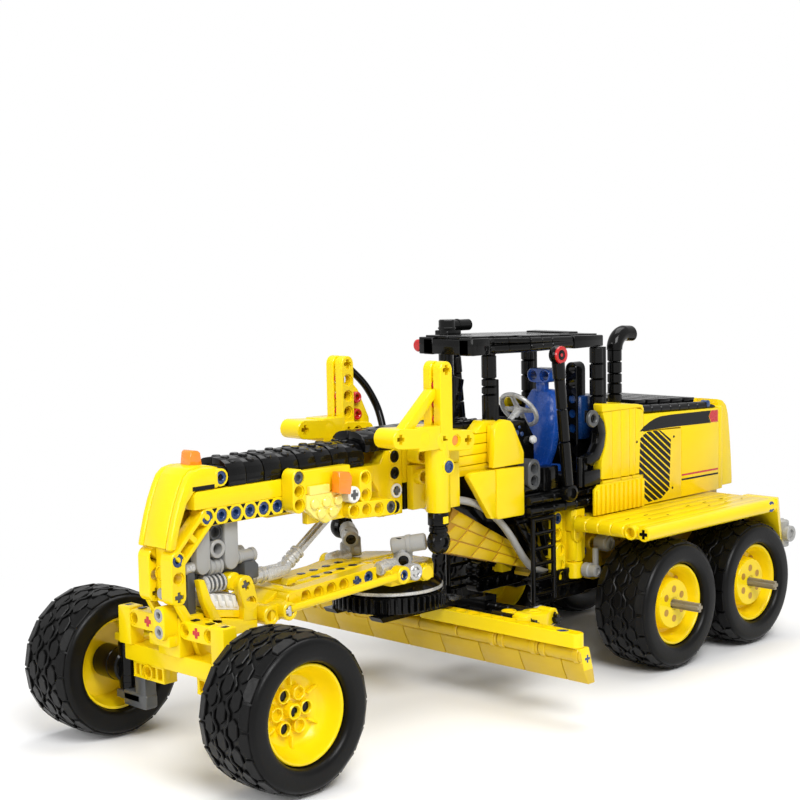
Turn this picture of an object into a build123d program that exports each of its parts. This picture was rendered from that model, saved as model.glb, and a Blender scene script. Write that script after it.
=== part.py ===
from build123d import *
import math
import os

# Toy motor grader built from pinned beams, in millimetres.
# Inside this file x runs forward from the front axle, y to the left and z up from the floor.
# Every piece is shifted by SHIFT when it is written, so the origin is under the middle of the toy.

# Driving sizes
PITCH = 8.0            # distance between pin holes
BEAM = 7.8             # thickness of a beam
HOLE_R = 2.4           # pin hole
GAP = 0.2              # play between neighbouring pieces
TYRE_R = 34.35
TYRE_W = 34.0
RIM_R = 21.6
RIM_W = 26.0
FRONT_TRACK = 128.0
REAR_TRACK = 120.0
WHEELBASE = 264.0      # front axle to first rear axle
TANDEM = 72.0          # first to second rear axle
TAIL = 50.0            # second rear axle to the rearmost lamp
NECK_Z = 108.5         # row of pins along the neck
NECK_HALF = 12.0       # half the neck's width
DECK_Z = 80.0          # top of the walkway over the rear wheels
DECK_HALF = 80.0
HOOD_HALF = 36.0
ROOF_Z = 178.0
BLADE_L = 208.0
BLADE_Z = 20.0         # cutting edge above the floor
RING_R = 31.0
RING_X = -125.0
TEETH = 40             # teeth round the turning ring
LIFT_X = -126.5        # lift towers
LIFT_Y = 33.8
TOWER_T = 11.6         # tower thickness across the toy
TOWER_Z = 165.6        # pin in the tower's head
KINGPIN_Y = 44.0
HOSE_R = 1.9           # black and grey hoses

# Derived stations
AXLE_Z = TYRE_R
REAR_1 = -WHEELBASE
REAR_2 = -WHEELBASE - TANDEM
BACK = REAR_2 - TAIL
SHIFT = -(TYRE_R + BACK) / 2
IN_Y = NECK_HALF - BEAM - GAP / 2
OUT_Y = NECK_HALF - GAP / 2
NECK_TOP = NECK_Z + 1.5 * PITCH
CAB_X = REAR_1 + 58.0
HOOD_X = REAR_1 + 14.0
HOOD_MID = HOOD_X - 36.0
HOOD_END = REAR_2 - 29.0
HINGE_X = -36.0
HINGE_Z = 60.0
FLOOR_Z = DECK_Z + 4.1
SIDE_Y = REAR_TRACK / 2 - TYRE_W / 2 - 13.0
SEAT_TOP = ROOF_Z - 21.0
WHEEL_Z = NECK_Z + 0.42 * (ROOF_Z - NECK_Z)
ARM_Z = 133.0
ROD_X = LIFT_X + 1.0
POST_TOP = ROOF_Z - 10.0 - GAP


def plate(points, y0, y1):
    """Extrude an outline of (x, z) points across the toy, from y0 to y1."""
    wire = Wire.make_polygon([(x, y0, z) for x, z in points], close=True)
    return Solid.extrude(Face(wire), Vector(0, y1 - y0, 0))


def plan(points, z0, z1):
    """Extrude an outline of (x, y) points upward, from z0 to z1."""
    wire = Wire.make_polygon([(x, y, z0) for x, y in points], close=True)
    return Solid.extrude(Face(wire), Vector(0, 0, z1 - z0))


def across(points, x0, x1):
    """Extrude an outline of (y, z) points along the toy, from x0 to x1."""
    wire = Wire.make_polygon([(x0, y, z) for y, z in points], close=True)
    return Solid.extrude(Face(wire), Vector(x1 - x0, 0, 0))


def block(x0, x1, y0, y1, z0, z1):
    """A box between two corners."""
    return plan([(x0, y0), (x1, y0), (x1, y1), (x0, y1)], min(z0, z1), max(z0, z1))


def rod(start, end, radius, sides=12):
    """A straight bar with a many-sided section between two points."""
    a = Vector(*start)
    b = Vector(*end)
    base = Plane(origin=a, z_dir=b - a)
    points = []
    for i in range(sides):
        turn = 2 * math.pi * (i + 0.5) / sides
        points.append(base.from_local_coords((radius * math.cos(turn), radius * math.sin(turn), 0)))
    return Solid.extrude(Face(Wire.make_polygon(points, close=True)), b - a)


def capsule(p, q, radius, y0, y1):
    """A round-ended beam between the hole centres p and q, both (x, z)."""
    along = math.atan2(q[1] - p[1], q[0] - p[0])
    points = []
    for centre, first in ((q, along - math.pi / 2), (p, along + math.pi / 2)):
        for i in range(7):
            turn = first + math.pi * i / 6
            points.append((centre[0] + radius * math.cos(turn), centre[1] + radius * math.sin(turn)))
    return plate(points, y0, y1)


def pin_hole(x, z, y0, y1, radius=HOLE_R):
    """An eight-sided cutter for a pin hole across the toy."""
    return rod((x, y0, z), (x, y1, z), radius, 8)


def ring(profile, centre, sides):
    """Turn an outline of (radius, y) points round a cross axle in flat facets."""
    area = 0.0
    for j in range(len(profile)):
        area += profile[j - 1][0] * profile[j][1] - profile[j][0] * profile[j - 1][1]
    profile = profile if area > 0 else list(reversed(profile))
    faces = []
    rows = []
    for i in range(sides):
        turn = 2 * math.pi * i / sides
        row = []
        for radius, y in profile:
            row.append((centre[0] + radius * math.cos(turn), centre[1] + y, centre[2] + radius * math.sin(turn)))
        rows.append(row)
    for i in range(sides):
        here = rows[i]
        there = rows[(i + 1) % sides]
        for j in range(len(profile)):
            k = (j + 1) % len(profile)
            faces.append(Face(Wire.make_polygon([here[j], here[k], there[k], there[j]], close=True)))
    return Solid(Shell(faces))


def both(shape):
    """The same piece on the left and on the right."""
    return [shape, shape.mirror(Plane.XZ)]


def fuse(first, *others):
    """Join overlapping shapes into one piece."""
    return first.fuse(*others).clean() if others else first


def save(name, shapes):
    """Write one node: a single piece, or like pieces that do not touch."""
    shapes = shapes if isinstance(shapes, list) else [shapes]
    solids = []
    for shape in shapes:
        solids.extend(shape.solids())
    moved = [solid.moved(Location((SHIFT, 0, 0))) for solid in solids]
    export_step(moved[0] if len(moved) == 1 else Compound(children=moved), "parts/" + name + ".step")


os.makedirs("parts", exist_ok=True)

# Wheels: tyre, rim and, at the back, the cross axle that sticks out of the rim
half_t = TYRE_W / 2
half_r = RIM_W / 2
tyre_outline = [
    (RIM_R + 0.1, -half_r),
    (RIM_R + 6.5, -half_t),
    (TYRE_R - 4.0, -half_t),
    (TYRE_R, -half_t + 4.5),
    (TYRE_R, half_t - 4.5),
    (TYRE_R - 4.0, half_t),
    (RIM_R + 6.5, half_t),
    (RIM_R + 0.1, half_r),
]
wheels = [
    ("front_left", 0.0, FRONT_TRACK / 2, 1),
    ("front_right", 0.0, -FRONT_TRACK / 2, -1),
    ("rear_1_left", REAR_1, REAR_TRACK / 2, 1),
    ("rear_1_right", REAR_1, -REAR_TRACK / 2, -1),
    ("rear_2_left", REAR_2, REAR_TRACK / 2, 1),
    ("rear_2_right", REAR_2, -REAR_TRACK / 2, -1),
]
for name, x, y, side in wheels:
    front = name.startswith("front")
    save("tyre_" + name, ring(tyre_outline, (x, y, AXLE_Z), 36))
    if front:
        outline = [
            (2.5, -0.8),
            (2.5, 2.4),
            (RIM_R - 7.0, 2.4),
            (RIM_R - 1.8, half_r),
            (RIM_R, half_r),
            (RIM_R, -half_r),
            (RIM_R - 1.8, -half_r),
            (RIM_R - 1.8, -0.8),
        ]
    else:
        outline = [
            (2.5, -2.0),
            (2.5, half_r - 1.5),
            (13.0, half_r - 1.5),
            (13.0, 4.0),
            (RIM_R - 3.6, 4.0),
            (RIM_R - 1.8, half_r),
            (RIM_R, half_r),
            (RIM_R, -half_r),
            (RIM_R - 1.8, -half_r),
            (RIM_R - 1.8, -2.0),
        ]
        tip = y + side * 28.0
        save("axle_" + name, rod((x, y - side * 26.0, AXLE_Z), (x, tip, AXLE_Z), 2.35, 12))
    save("rim_" + name, ring([(r, side * w) for r, w in outline], (x, y, AXLE_Z), 20))

# Neck: two bent side frames of pinned beams
lower = capsule((-4.0, NECK_Z), (-48.0, NECK_Z), BEAM / 2, IN_Y, OUT_Y)
leg_x = 12.5
leg_top = NECK_Z - 16.5
slope = capsule((leg_x, leg_top), (-4.0, NECK_Z), BEAM / 2, IN_Y, OUT_Y)
leg = capsule((leg_x, leg_top - 2 * PITCH), (leg_x, leg_top), BEAM / 2, IN_Y, OUT_Y)
upper = block(-112.0, 3.0, IN_Y, OUT_Y, NECK_Z + BEAM / 2 - 0.1, NECK_TOP)
tail_points = [
    (-46.0, NECK_Z - BEAM / 2),
    (-80.0, NECK_Z - BEAM / 2),
    (-96.0, NECK_Z - 14.0),
    (-124.0, NECK_Z - 14.0),
    (-124.0, NECK_TOP + 6.0),
    (-114.0, NECK_TOP + 6.0),
    (-112.0, NECK_TOP - 1.0),
    (-46.0, NECK_TOP - 1.0),
]
neck = fuse(lower, slope, leg, upper, plate(tail_points, IN_Y, OUT_Y))
neck_holes = []
for i in range(6):
    neck_holes.append((-4.0 - i * PITCH, NECK_Z))
for i in range(3):
    neck_holes.append((leg_x, leg_top - i * PITCH))
for x, z in ((-118.5, NECK_Z + 14.5), (-118.5, NECK_Z + 6.5), (-118.5, NECK_Z - 10.0), (-110.5, NECK_Z - 10.0)):
    neck_holes.append((x, z))
for x, z in neck_holes:
    neck = neck.cut(pin_hole(x, z, IN_Y - 1, OUT_Y + 1))
save("neck_beams", both(neck))

nose = [
    (-16.0, NECK_TOP + 9.5),
    (2.0, NECK_TOP + 10.5),
    (7.0, NECK_TOP + 6.5),
    (11.0, NECK_TOP - 2.5),
    (14.5, NECK_TOP - 13.5),
    (16.4, leg_top + 5.0),
    (14.0, leg_top + 5.0),
    (11.5, NECK_TOP - 15.0),
    (7.5, NECK_TOP - 5.5),
    (3.4, NECK_TOP + GAP),
    (-16.0, NECK_TOP + GAP),
]
save("nose_panel", plate(nose, -OUT_Y, OUT_Y))


def crown(x0, x1, z0, height):
    """A length of the arched black cover along the neck's top."""
    points = [(-OUT_Y, z0), (OUT_Y, z0), (OUT_Y, z0 + 0.5 * height), (OUT_Y - 3.0, z0 + 0.85 * height)]
    points += [(OUT_Y - 8.0, z0 + height), (8.0 - OUT_Y, z0 + height)]
    points += [(3.0 - OUT_Y, z0 + 0.85 * height), (-OUT_Y, z0 + 0.5 * height)]
    return across(points, x0, x1)


save("neck_cover", [crown(-99.0, -16.2, NECK_TOP + GAP, 12.0), crown(-149.0, -99.2, NECK_TOP + 6.2, 10.0)])

bracket = [
    (-46.0, NECK_Z - 4.5),
    (-46.0, NECK_TOP + 3.0),
    (-60.0, NECK_TOP + 3.0),
    (-84.0, NECK_TOP - 2.5),
    (-84.0, NECK_Z - 2.5),
    (-66.0, NECK_Z - 10.5),
]
save("lamp_brackets", both(plate(bracket, NECK_HALF + GAP / 2, NECK_HALF + BEAM)))
lamp_y = NECK_HALF + BEAM + GAP
save("amber_lamps", both(block(-78.0, -70.0, lamp_y, lamp_y + 5.0, NECK_Z + 2.0, NECK_Z + 11.5)))

# Back of the neck: stacked beams, dark core down to the rear frame, sloping side plates
stack = fuse(
    block(-190.0, -150.2, -2.5 * PITCH, 2.5 * PITCH, NECK_Z + 0.7, NECK_TOP + 9.2),
    block(-151.0, -124.2, -OUT_Y, OUT_Y, NECK_Z + 0.7, NECK_TOP + 6.0),
)
save("neck_stack", stack)
core = [
    (-124.2, NECK_Z - 12.5),
    (-124.2, NECK_Z + 0.5),
    (CAB_X, NECK_Z + 0.5),
    (CAB_X, FLOOR_Z - 0.1),
    (CAB_X - 26.0, FLOOR_Z - 0.1),
    (CAB_X - 26.0, 46.0),
    (CAB_X - 8.0, 56.0),
    (-152.0, 75.0),
    (-142.0, NECK_Z - 12.5),
]
save("frame_core", plate(core, -OUT_Y, OUT_Y))
slant = [
    (-146.0, 80.0),
    (-152.0, 97.0),
    (-164.0, 97.0),
    (CAB_X + 3.0, 67.0),
    (CAB_X - 8.0, 54.0),
    (-150.0, 72.5),
]
save("slope_plates", both(plate(slant, NECK_HALF + GAP / 2, NECK_HALF + 4.0)))

# Lift towers beside the neck and the saddle that carries them
SADDLE_Y = 25.9
saddle = block(-150.0, -126.0, NECK_HALF + GAP / 2, SADDLE_Y, NECK_Z - 12.5, NECK_TOP + 6.0)
tower_in = LIFT_Y - TOWER_T / 2
tower_out = LIFT_Y + TOWER_T / 2
SLEEVE_Z = 97.5


def lift_tower(way, reach, tail):
    """The left tower: its brace plate reaches ahead (way 1) or behind (way -1), its arm ends at tail."""
    arm_back = (LIFT_X - tail, ARM_Z - 1.5)
    arm_front = (LIFT_X + 31.0, ARM_Z + 2.0)
    brace = [
        (LIFT_X + way * 3.0, TOWER_Z - 7.0),
        (LIFT_X + way * 8.0, TOWER_Z - 9.0),
        (LIFT_X + way * 13.0, TOWER_Z - 15.0),
        (LIFT_X + way * reach, ARM_Z + 3.0),
        (LIFT_X + way * 3.0, ARM_Z),
    ]
    tower = fuse(
        block(LIFT_X - PITCH / 2, LIFT_X + PITCH / 2, tower_in, tower_out, ARM_Z, TOWER_Z),
        rod((LIFT_X, tower_in, TOWER_Z), (LIFT_X, tower_out, TOWER_Z), PITCH / 2, 16),
        plate(brace, LIFT_Y - 3.0, LIFT_Y + 3.0),
        capsule(arm_back, arm_front, 5.2, SADDLE_Y + GAP, tower_out),
        block(ROD_X - 6.0, ROD_X + 6.0, tower_in, tower_out, SLEEVE_Z, ARM_Z),
        block(LIFT_X - 12.0, LIFT_X + 4.0, SADDLE_Y + GAP, tower_in + 1.0, ARM_Z - 22.0, ARM_Z),
    )
    bore = rod((ROD_X, LIFT_Y, SLEEVE_Z - 5.0), (ROD_X, LIFT_Y, ARM_Z + 4.0), 4.4, 12)
    head = Plane(origin=(LIFT_X, tower_in - 2.0, TOWER_Z), z_dir=(0, 1, 0))
    tower = tower.cut(bore, Solid.make_cylinder(HOLE_R, TOWER_T + 4.0, head))
    for x, z in (arm_front, arm_back):
        tower = tower.cut(pin_hole(x, z, SADDLE_Y, tower_out + 1.0))
    return tower


def hose(points):
    """A hose along straight runs joined by arcs as large as the runs allow."""
    route = [Vector(*point) for point in points]
    radii = []
    for i in range(1, len(route) - 1):
        before = route[i] - route[i - 1]
        after = route[i + 1] - route[i]
        half_turn = math.radians(before.get_angle(after)) / 2
        radii.append(0.45 * min(before.length, after.length) / math.tan(half_turn))
    print("hose arcs:", [round(radius, 1) for radius in radii])
    path = FilletPolyline(*route, radius=radii)
    section = Plane(origin=route[0], z_dir=route[1] - route[0]) * RegularPolygon(HOSE_R, 8)
    return sweep(section, path=path).solids()[0]


def socket(before, end, depth):
    """The collar that a hose's last run ends in, from just off its end into the piece that holds it."""
    end = Vector(*end)
    into = (end - Vector(*before)).normalized()
    return rod(end + into * GAP, end + into * (depth + GAP), HOSE_R + 0.9, 12)


black_route = [
    (-133.6, -33.8, 162.0),
    (-141.2, -33.4, 156.2),
    (-147.0, -32.0, 147.6),
    (-149.8, -29.2, 138.2),
    (-147.6, -24.6, 129.0),
]
save("black_hose", hose(black_route))
grey_route = [
    (-150.8, 20.6, 98.8),
    (-161.0, 20.8, 97.0),
    (-172.0, 21.0, 92.0),
    (-183.0, 21.2, 84.5),
    (-192.5, 21.2, 74.5),
    (-201.0, 21.0, 63.0),
    (-210.5, 20.6, 54.0),
    (-221.2, 20.0, 51.4),
]
save("grey_hose", hose(grey_route))
near_tower = lift_tower(1, 25.0, 15.0)
far_tower = lift_tower(-1, 15.0, 11.0).mirror(Plane.XZ)
save("lift_tower_left", near_tower)
save("lift_tower_right", fuse(far_tower, socket(black_route[1], black_route[0], 5.0)))
hose_foot = socket(black_route[-2], black_route[-1], 4.0)
save("lift_saddles", [saddle, fuse(saddle.mirror(Plane.XZ), hose_foot)])
lift = fuse(
    rod((ROD_X, LIFT_Y, 84.0), (ROD_X, LIFT_Y, ARM_Z - 5.0), 3.9, 12),
    block(ROD_X - 5.2, ROD_X + 5.2, LIFT_Y - 5.2, LIFT_Y + 5.2, 87.5, SLEEVE_Z - 5.2),
    rod((ROD_X, LIFT_Y - 4.2, 83.0), (ROD_X, LIFT_Y + 4.2, 83.0), 6.2, 16),
)
save("lift_rod_left", lift)
save("lift_rod_right", lift.mirror(Plane.XZ))

# Front axle and the light grey works behind the nose
beam_axle = fuse(
    block(-4.0, 8.0, -36.0, 36.0, 41.0, 48.8),
    block(2.0, 9.8, -37.5, 37.5, 57.6, 65.4),
    block(2.0, 9.8, 29.7, 37.5, 48.0, 58.0),
    block(2.0, 9.8, -37.5, -29.7, 48.0, 58.0),
    block(-4.0, 20.0, -7.9, 7.9, 48.0, 66.0),
    plate([(16.4, 71.9), (8.6, 71.9), (-6.0, 60.0), (-6.0, 48.0), (16.4, 48.0)], IN_Y, OUT_Y),
    plate([(16.4, 71.9), (8.6, 71.9), (-6.0, 60.0), (-6.0, 48.0), (16.4, 48.0)], -OUT_Y, -IN_Y),
    block(-30.8, -3.0, -OUT_Y, OUT_Y, 54.0, 61.8),
    block(-5.0, 5.0, 33.0, 48.0, 46.6, 50.4),
    block(-5.0, 5.0, -48.0, -33.0, 46.6, 50.4),
    block(-5.0, 5.0, 29.0, 48.0, 20.0, 24.0),
    block(-5.0, 5.0, -48.0, -29.0, 20.0, 24.0),
    block(-5.0, 5.0, 29.0, 36.0, 20.0, 44.0),
    block(-5.0, 5.0, -36.0, -29.0, 20.0, 44.0),
)
save("front_axle", beam_axle)
gearbox_top = NECK_Z - 4.1
gearbox_outline = [
    (-36.0, 71.0),
    (-27.0, 71.0),
    (-27.0, 78.0),
    (-0.6, 78.0),
    (-0.6, gearbox_top - 6.0),
    (-6.6, gearbox_top),
    (-36.0, gearbox_top),
]
gearbox = plate(gearbox_outline, -BEAM, BEAM)
ribbed = block(-26.0, -4.2, -9.9, 9.9, 62.0, 77.8)
save("front_gearbox", [gearbox, ribbed])
shaft = fuse(
    rod((-36.2, 0, 76.2), (-58.5, 0, 77.6), 3.4, 8),
    rod((-56.5, 0, 76.8), (-84.5, 0, 97.0), 3.0, 8),
)
save("drive_shaft", shaft)

# Steering knuckles
hub_y = FRONT_TRACK / 2
knuckle = fuse(
    rod((0, KINGPIN_Y, 24.3), (0, KINGPIN_Y, 46.3), 5.0, 12),
    rod((0, KINGPIN_Y, AXLE_Z), (0, hub_y + 5.5, AXLE_Z), 2.35, 12),
    rod((0, KINGPIN_Y, AXLE_Z), (0, hub_y - 1.0, AXLE_Z), 8.0, 12),
)
save("knuckle_left", knuckle)
save("knuckle_right", knuckle.mirror(Plane.XZ))

# Drawbar, turning ring and blade
bar_low = HINGE_Z + 3.0
bar_high = bar_low + BEAM
drawbar = fuse(
    rod((HINGE_X, -7.8, HINGE_Z), (HINGE_X, 7.8, HINGE_Z), 4.8, 12),
    plate([(HINGE_X, HINGE_Z - 3.0), (HINGE_X, HINGE_Z + 3.5), (-52.0, bar_high), (-52.0, bar_low)], -7.8, 7.8),
    block(-118.0, -46.0, PITCH, 2 * PITCH, bar_low, bar_high),
    block(-118.0, -46.0, -2 * PITCH, -PITCH, bar_low, bar_high),
    block(-54.0, -46.0, -2 * PITCH, 2 * PITCH, bar_low, bar_high),
    block(RING_X - 16.0, RING_X + 22.0, -24.0, 24.0, bar_low, bar_high),
)
side_rod = fuse(
    rod((-46.0, 17.6, 61.5), (RING_X + 17.0, 26.0, 68.6), 1.8, 8),
    rod((-46.0, 12.0, 61.5), (-46.0, 19.6, 61.5), 3.9, 12),
    rod((RING_X + 17.0, 22.0, 68.6), (RING_X + 17.0, 28.0, 68.6), 4.2, 12),
)
drawbar = fuse(drawbar, *both(side_rod))
for i in range(4):
    cutter = pin_hole(-58.0 - i * PITCH, bar_low + BEAM / 2, -30, 30)
    drawbar = drawbar.cut(cutter)
save("drawbar", drawbar)
links = rod((RING_X + 10.0, 16.0, bar_high + 4.4), (ROD_X + 3.0, LIFT_Y - 7.6, 82.5), 4.0, 12)
save("lift_links", both(links))
ring_top = HINGE_Z + 2.8


def disc(radius, hole, z0, z1, sides):
    """A flat many-sided ring lying on the turning axis."""
    outer = rod((RING_X, 0, z0), (RING_X, 0, z1), radius, sides)
    return outer.cut(rod((RING_X, 0, z0 - 1), (RING_X, 0, z1 + 1), hole, sides))


save("ring_plate", disc(RING_R - 1.5, 20.0, ring_top - 6.4, ring_top, 36))
tooth_outline = []
for i in range(4 * TEETH):
    turn = math.pi * i / (2 * TEETH)
    radius = RING_R if i % 4 < 2 else RING_R - 2.2
    tooth_outline.append((RING_X + radius * math.cos(turn), radius * math.sin(turn)))
toothed = plan(tooth_outline, ring_top - 14.6, ring_top - 6.6)
toothed = toothed.cut(rod((RING_X, 0, ring_top - 20.0), (RING_X, 0, ring_top), 20.0, 36))
save("circle_ring", toothed)
rail_z = 41.0
edge_x = RING_X - 32.5
rail_a = RING_X - 34.0
rail_b = RING_X - 51.0
hanger_low = rail_z - 6.0
hanger = plate(
    [
        (rail_b - 6.0, hanger_low),
        (rail_b - 6.0, rail_z + 5.0),
        (RING_X - 26.0, ring_top - 14.8),
        (RING_X + 26.0, ring_top - 14.8),
        (RING_X + 24.0, BLADE_Z + 25.6),
        (edge_x + 4.7, BLADE_Z + 25.6),
        (edge_x + 4.7, hanger_low),
    ],
    12.0,
    20.0,
)
for x in (rail_a, rail_b):
    hanger = hanger.cut(block(x - 2.9, x + 2.9, 8.0, 24.0, rail_z - 2.9, rail_z + 2.9))
save("blade_hangers", both(hanger))
rails = []
for x in (rail_a, rail_b):
    rails.append(block(x - 2.5, x + 2.5, -66.0, 66.0, rail_z - 2.5, rail_z + 2.5))
save("blade_rails", rails)
blade_half = BLADE_L / 2
blade = plate(
    [
        (edge_x + 14.0, BLADE_Z + 25.0),
        (edge_x + 7.0, BLADE_Z + 25.0),
        (edge_x + 5.5, BLADE_Z + 15.0),
        (edge_x - 1.0, BLADE_Z + 8.0),
        (edge_x - 4.0, BLADE_Z),
        (edge_x + 1.0, BLADE_Z),
        (edge_x + 6.5, BLADE_Z + 8.0),
        (edge_x + 12.5, BLADE_Z + 16.0),
    ],
    -blade_half,
    blade_half,
)
tie = [
    (rail_b - 5.0, rail_z - 4.5),
    (rail_b - 5.0, rail_z + 4.5),
    (edge_x + 8.0, rail_z + 3.5),
    (edge_x + 7.0, rail_z - 4.5),
]
for side in (1, -1):
    tie_plate = plate(tie, side * 56.0, side * 64.0)
    for x in (rail_a, rail_b):
        tie_plate = tie_plate.cut(block(x - 2.6, x + 2.6, side * 52.0, side * 68.0, rail_z - 2.6, rail_z + 2.6))
    blade = fuse(blade, tie_plate)
save("blade", blade)

# Cab on the back of the neck
upper_cowl = [
    (-172.0, NECK_Z + 3.7),
    (CAB_X + 10.0, NECK_Z + 3.7),
    (CAB_X + 10.0, NECK_Z + 10.0),
    (CAB_X + 19.0, NECK_Z + 26.5),
    (-180.0, NECK_Z + 28.0),
    (-174.0, NECK_Z + 24.0),
]
lower_cowl = [
    (-154.0, NECK_Z + 3.4),
    (CAB_X + 10.0, NECK_Z + 3.4),
    (CAB_X + 10.0, 86.0),
    (-168.0, 86.0),
    (-163.0, 90.0),
]
cowl_in = 24.0
cowl_out = 27.9
cowl_u = fuse(plate(upper_cowl, cowl_in, cowl_out), block(-186.0, -176.0, 20.2, 25.0, NECK_Z + 6.0, NECK_TOP + 5.0))
cowl_l = fuse(plate(lower_cowl, cowl_in, cowl_out), block(-190.0, -178.0, NECK_HALF + 0.1, 25.0, 98.0, 106.0))
save("cowl_panels", both(cowl_u) + both(cowl_l))
floor_points = [
    (CAB_X - 0.2, -32.0),
    (CAB_X - 0.2, 32.0),
    (HOOD_X + 0.2, 32.0),
    (HOOD_X + 0.2, 29.8),
    (HOOD_X - 15.8, 29.8),
    (HOOD_X - 15.8, -29.8),
    (HOOD_X + 0.2, -29.8),
    (HOOD_X + 0.2, -32.0),
]
cab_floor = plan(floor_points, FLOOR_Z, FLOOR_Z + 11.8)
post_low = FLOOR_Z + 12.0
posts = both(block(-188.0, -180.2, 11.0, 18.8, NECK_TOP + 9.4, POST_TOP))
posts += both(block(HOOD_X - 14.0, HOOD_X - 6.0, 20.2, 28.0, post_low, POST_TOP))
roof_half = 26.0
roof_points = [
    (-168.0, 19.0),
    (-184.0, 19.0),
    (CAB_X + 1.0, roof_half),
    (HOOD_X - 14.0, roof_half),
]
roof_points += [(x, -y) for x, y in reversed(roof_points)]
roof = plan(roof_points, ROOF_Z - 10.0, ROOF_Z)
roof = roof.cut(block(HOOD_X - 4.0, CAB_X + 14.0, -14.0, 14.0, ROOF_Z - 11.0, ROOF_Z - 4.0))
save("cab_roof", roof)
link_y = 36.0
stay = fuse(
    rod((CAB_X - 7.0, link_y, ROOF_Z - 11.0), (CAB_X - 15.0, link_y, FLOOR_Z + 11.0), 2.7, 12),
    rod((CAB_X - 7.0, roof_half + GAP, ROOF_Z - 11.0), (CAB_X - 7.0, 39.4, ROOF_Z - 11.0), 5.0, 12),
    rod((CAB_X - 15.0, 33.0, FLOOR_Z + 11.0), (CAB_X - 15.0, 39.4, FLOOR_Z + 11.0), 5.0, 12),
)
save("cab_posts", posts + both(stay))
save("roof_lamp", block(-200.0, -184.0, -24.0, -14.0, ROOF_Z + GAP, ROOF_Z + 7.0))
seat = [
    (CAB_X - 40.0, post_low),
    (CAB_X - 16.0, post_low),
    (CAB_X - 16.0, post_low + 9.0),
    (CAB_X - 31.0, post_low + 9.0),
    (CAB_X - 34.0, SEAT_TOP - 13.0),
    (CAB_X - 31.0, SEAT_TOP - 10.0),
    (CAB_X - 31.0, SEAT_TOP - 2.0),
    (CAB_X - 34.0, SEAT_TOP),
    (CAB_X - 39.0, SEAT_TOP),
    (CAB_X - 43.0, SEAT_TOP - 14.0),
]
save("seat", plate(seat, -11.0, 11.0))
console = block(CAB_X - 20.0, CAB_X + 10.0, -9.0, 9.0, NECK_Z + 0.8, WHEEL_Z - 6.0)
save("cab_floor", [cab_floor, console])
wheel_mid = Vector(CAB_X - 20.0, 0, WHEEL_Z)
tilt = Vector(-0.5, 0, 0.87)
wheel_rim = rod(wheel_mid - tilt * 1.3, wheel_mid + tilt * 1.3, 11.5, 20)
wheel_rim = wheel_rim.cut(rod(wheel_mid - tilt * 2, wheel_mid + tilt * 2, 9.0, 20))
wheel_bar = rod(wheel_mid - Vector(0, 10.0, 0), wheel_mid + Vector(0, 10.0, 0), 1.3, 8)
wheel_stem = rod(wheel_mid, wheel_mid - tilt * 5.8, 1.6, 8)
save("steering_wheel", fuse(wheel_rim, wheel_bar, wheel_stem))
ladder_top = FLOOR_Z - 0.2
ladder_parts = [
    block(-201.0, -198.0, 28.5, 31.5, 38.0, ladder_top),
    block(-217.0, -214.0, 28.5, 31.5, 38.0, ladder_top),
]
for i in range(6):
    z = 39.0 + i * (ladder_top - 42.0) / 5
    ladder_parts.append(block(-215.0, -200.0, 28.5, 31.0, z, z + 2.4))
save("ladders", both(fuse(*ladder_parts)))

# Rear frame, tandems, walkway, hood and stack
columns = block(CAB_X - 38.0, CAB_X - 16.0, NECK_HALF + 0.1, SIDE_Y - 6.1, 46.0, FLOOR_Z - 0.2)
save("rear_columns", both(columns))
chassis = fuse(
    block(HOOD_END, CAB_X - 38.2, -SIDE_Y, SIDE_Y, 44.0, DECK_Z),
    block(CAB_X - 39.0, CAB_X - 26.2, -OUT_Y, OUT_Y, 46.0, DECK_Z),
)
save("rear_chassis", chassis)
tandem_out = SIDE_Y + 9.8
tandem = block(REAR_2 - 14.0, REAR_1 + 14.0, SIDE_Y + GAP, tandem_out, 26.0, 52.0)
for x in (REAR_1, REAR_2):
    tandem = tandem.cut(rod((x, SIDE_Y - 2.0, AXLE_Z), (x, tandem_out + 2.0, AXLE_Z), 2.55, 12))
save("tandem_beams", both(tandem))
deck_end = REAR_2 - 14.0
edge_y = DECK_HALF - BEAM / 2
deck = fuse(
    block(deck_end, REAR_1 + 33.0, SIDE_Y + GAP, DECK_HALF - BEAM / 2, DECK_Z - BEAM, DECK_Z),
    rod((deck_end, edge_y, DECK_Z - BEAM / 2), (REAR_1 + 33.0, edge_y, DECK_Z - BEAM / 2), BEAM / 2, 12),
    plate(
        [
            (deck_end + 1.0, DECK_Z),
            (deck_end - 7.0, DECK_Z),
            (BACK + 8.0, 48.0),
            (BACK + 14.0, 48.0),
            (BACK + 17.5, 54.5),
            (BACK + 23.0, 62.0),
            (deck_end - 2.5, 71.5),
            (deck_end + 1.0, DECK_Z - 7.0),
        ],
        DECK_HALF - 24.0,
        DECK_HALF,
    ),
)
fender_taper = [(deck_end, DECK_HALF + 0.5), (BACK + 7.0, DECK_HALF - 14.0), (BACK + 7.0, DECK_HALF + 1.0)]
deck = deck.cut(plan(fender_taper, 40.0, DECK_Z + 1.0))
save("decks", both(deck))
lamp = plate(
    [(BACK + 12.8, 56.0), (BACK + 18.2, 64.0), (BACK, 64.0), (BACK, 56.0)],
    DECK_HALF - 23.0,
    DECK_HALF - 15.0,
)
save("rear_lamps", both(lamp))
hood_low = DECK_Z + GAP
crest = hood_low + 58.8
louvre_plan = [
    (HOOD_X, HOOD_HALF),
    (HOOD_MID, HOOD_HALF),
    (HOOD_MID, -HOOD_HALF),
    (HOOD_X, -HOOD_HALF),
    (HOOD_X, -30.0),
    (HOOD_X - 16.0, -30.0),
    (HOOD_X - 16.0, 30.0),
    (HOOD_X, 30.0),
]
louvre_side = [(HOOD_X + 1, hood_low), (HOOD_X + 1, crest), (HOOD_MID - 1, crest - 4.0), (HOOD_MID - 1, hood_low)]
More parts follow.
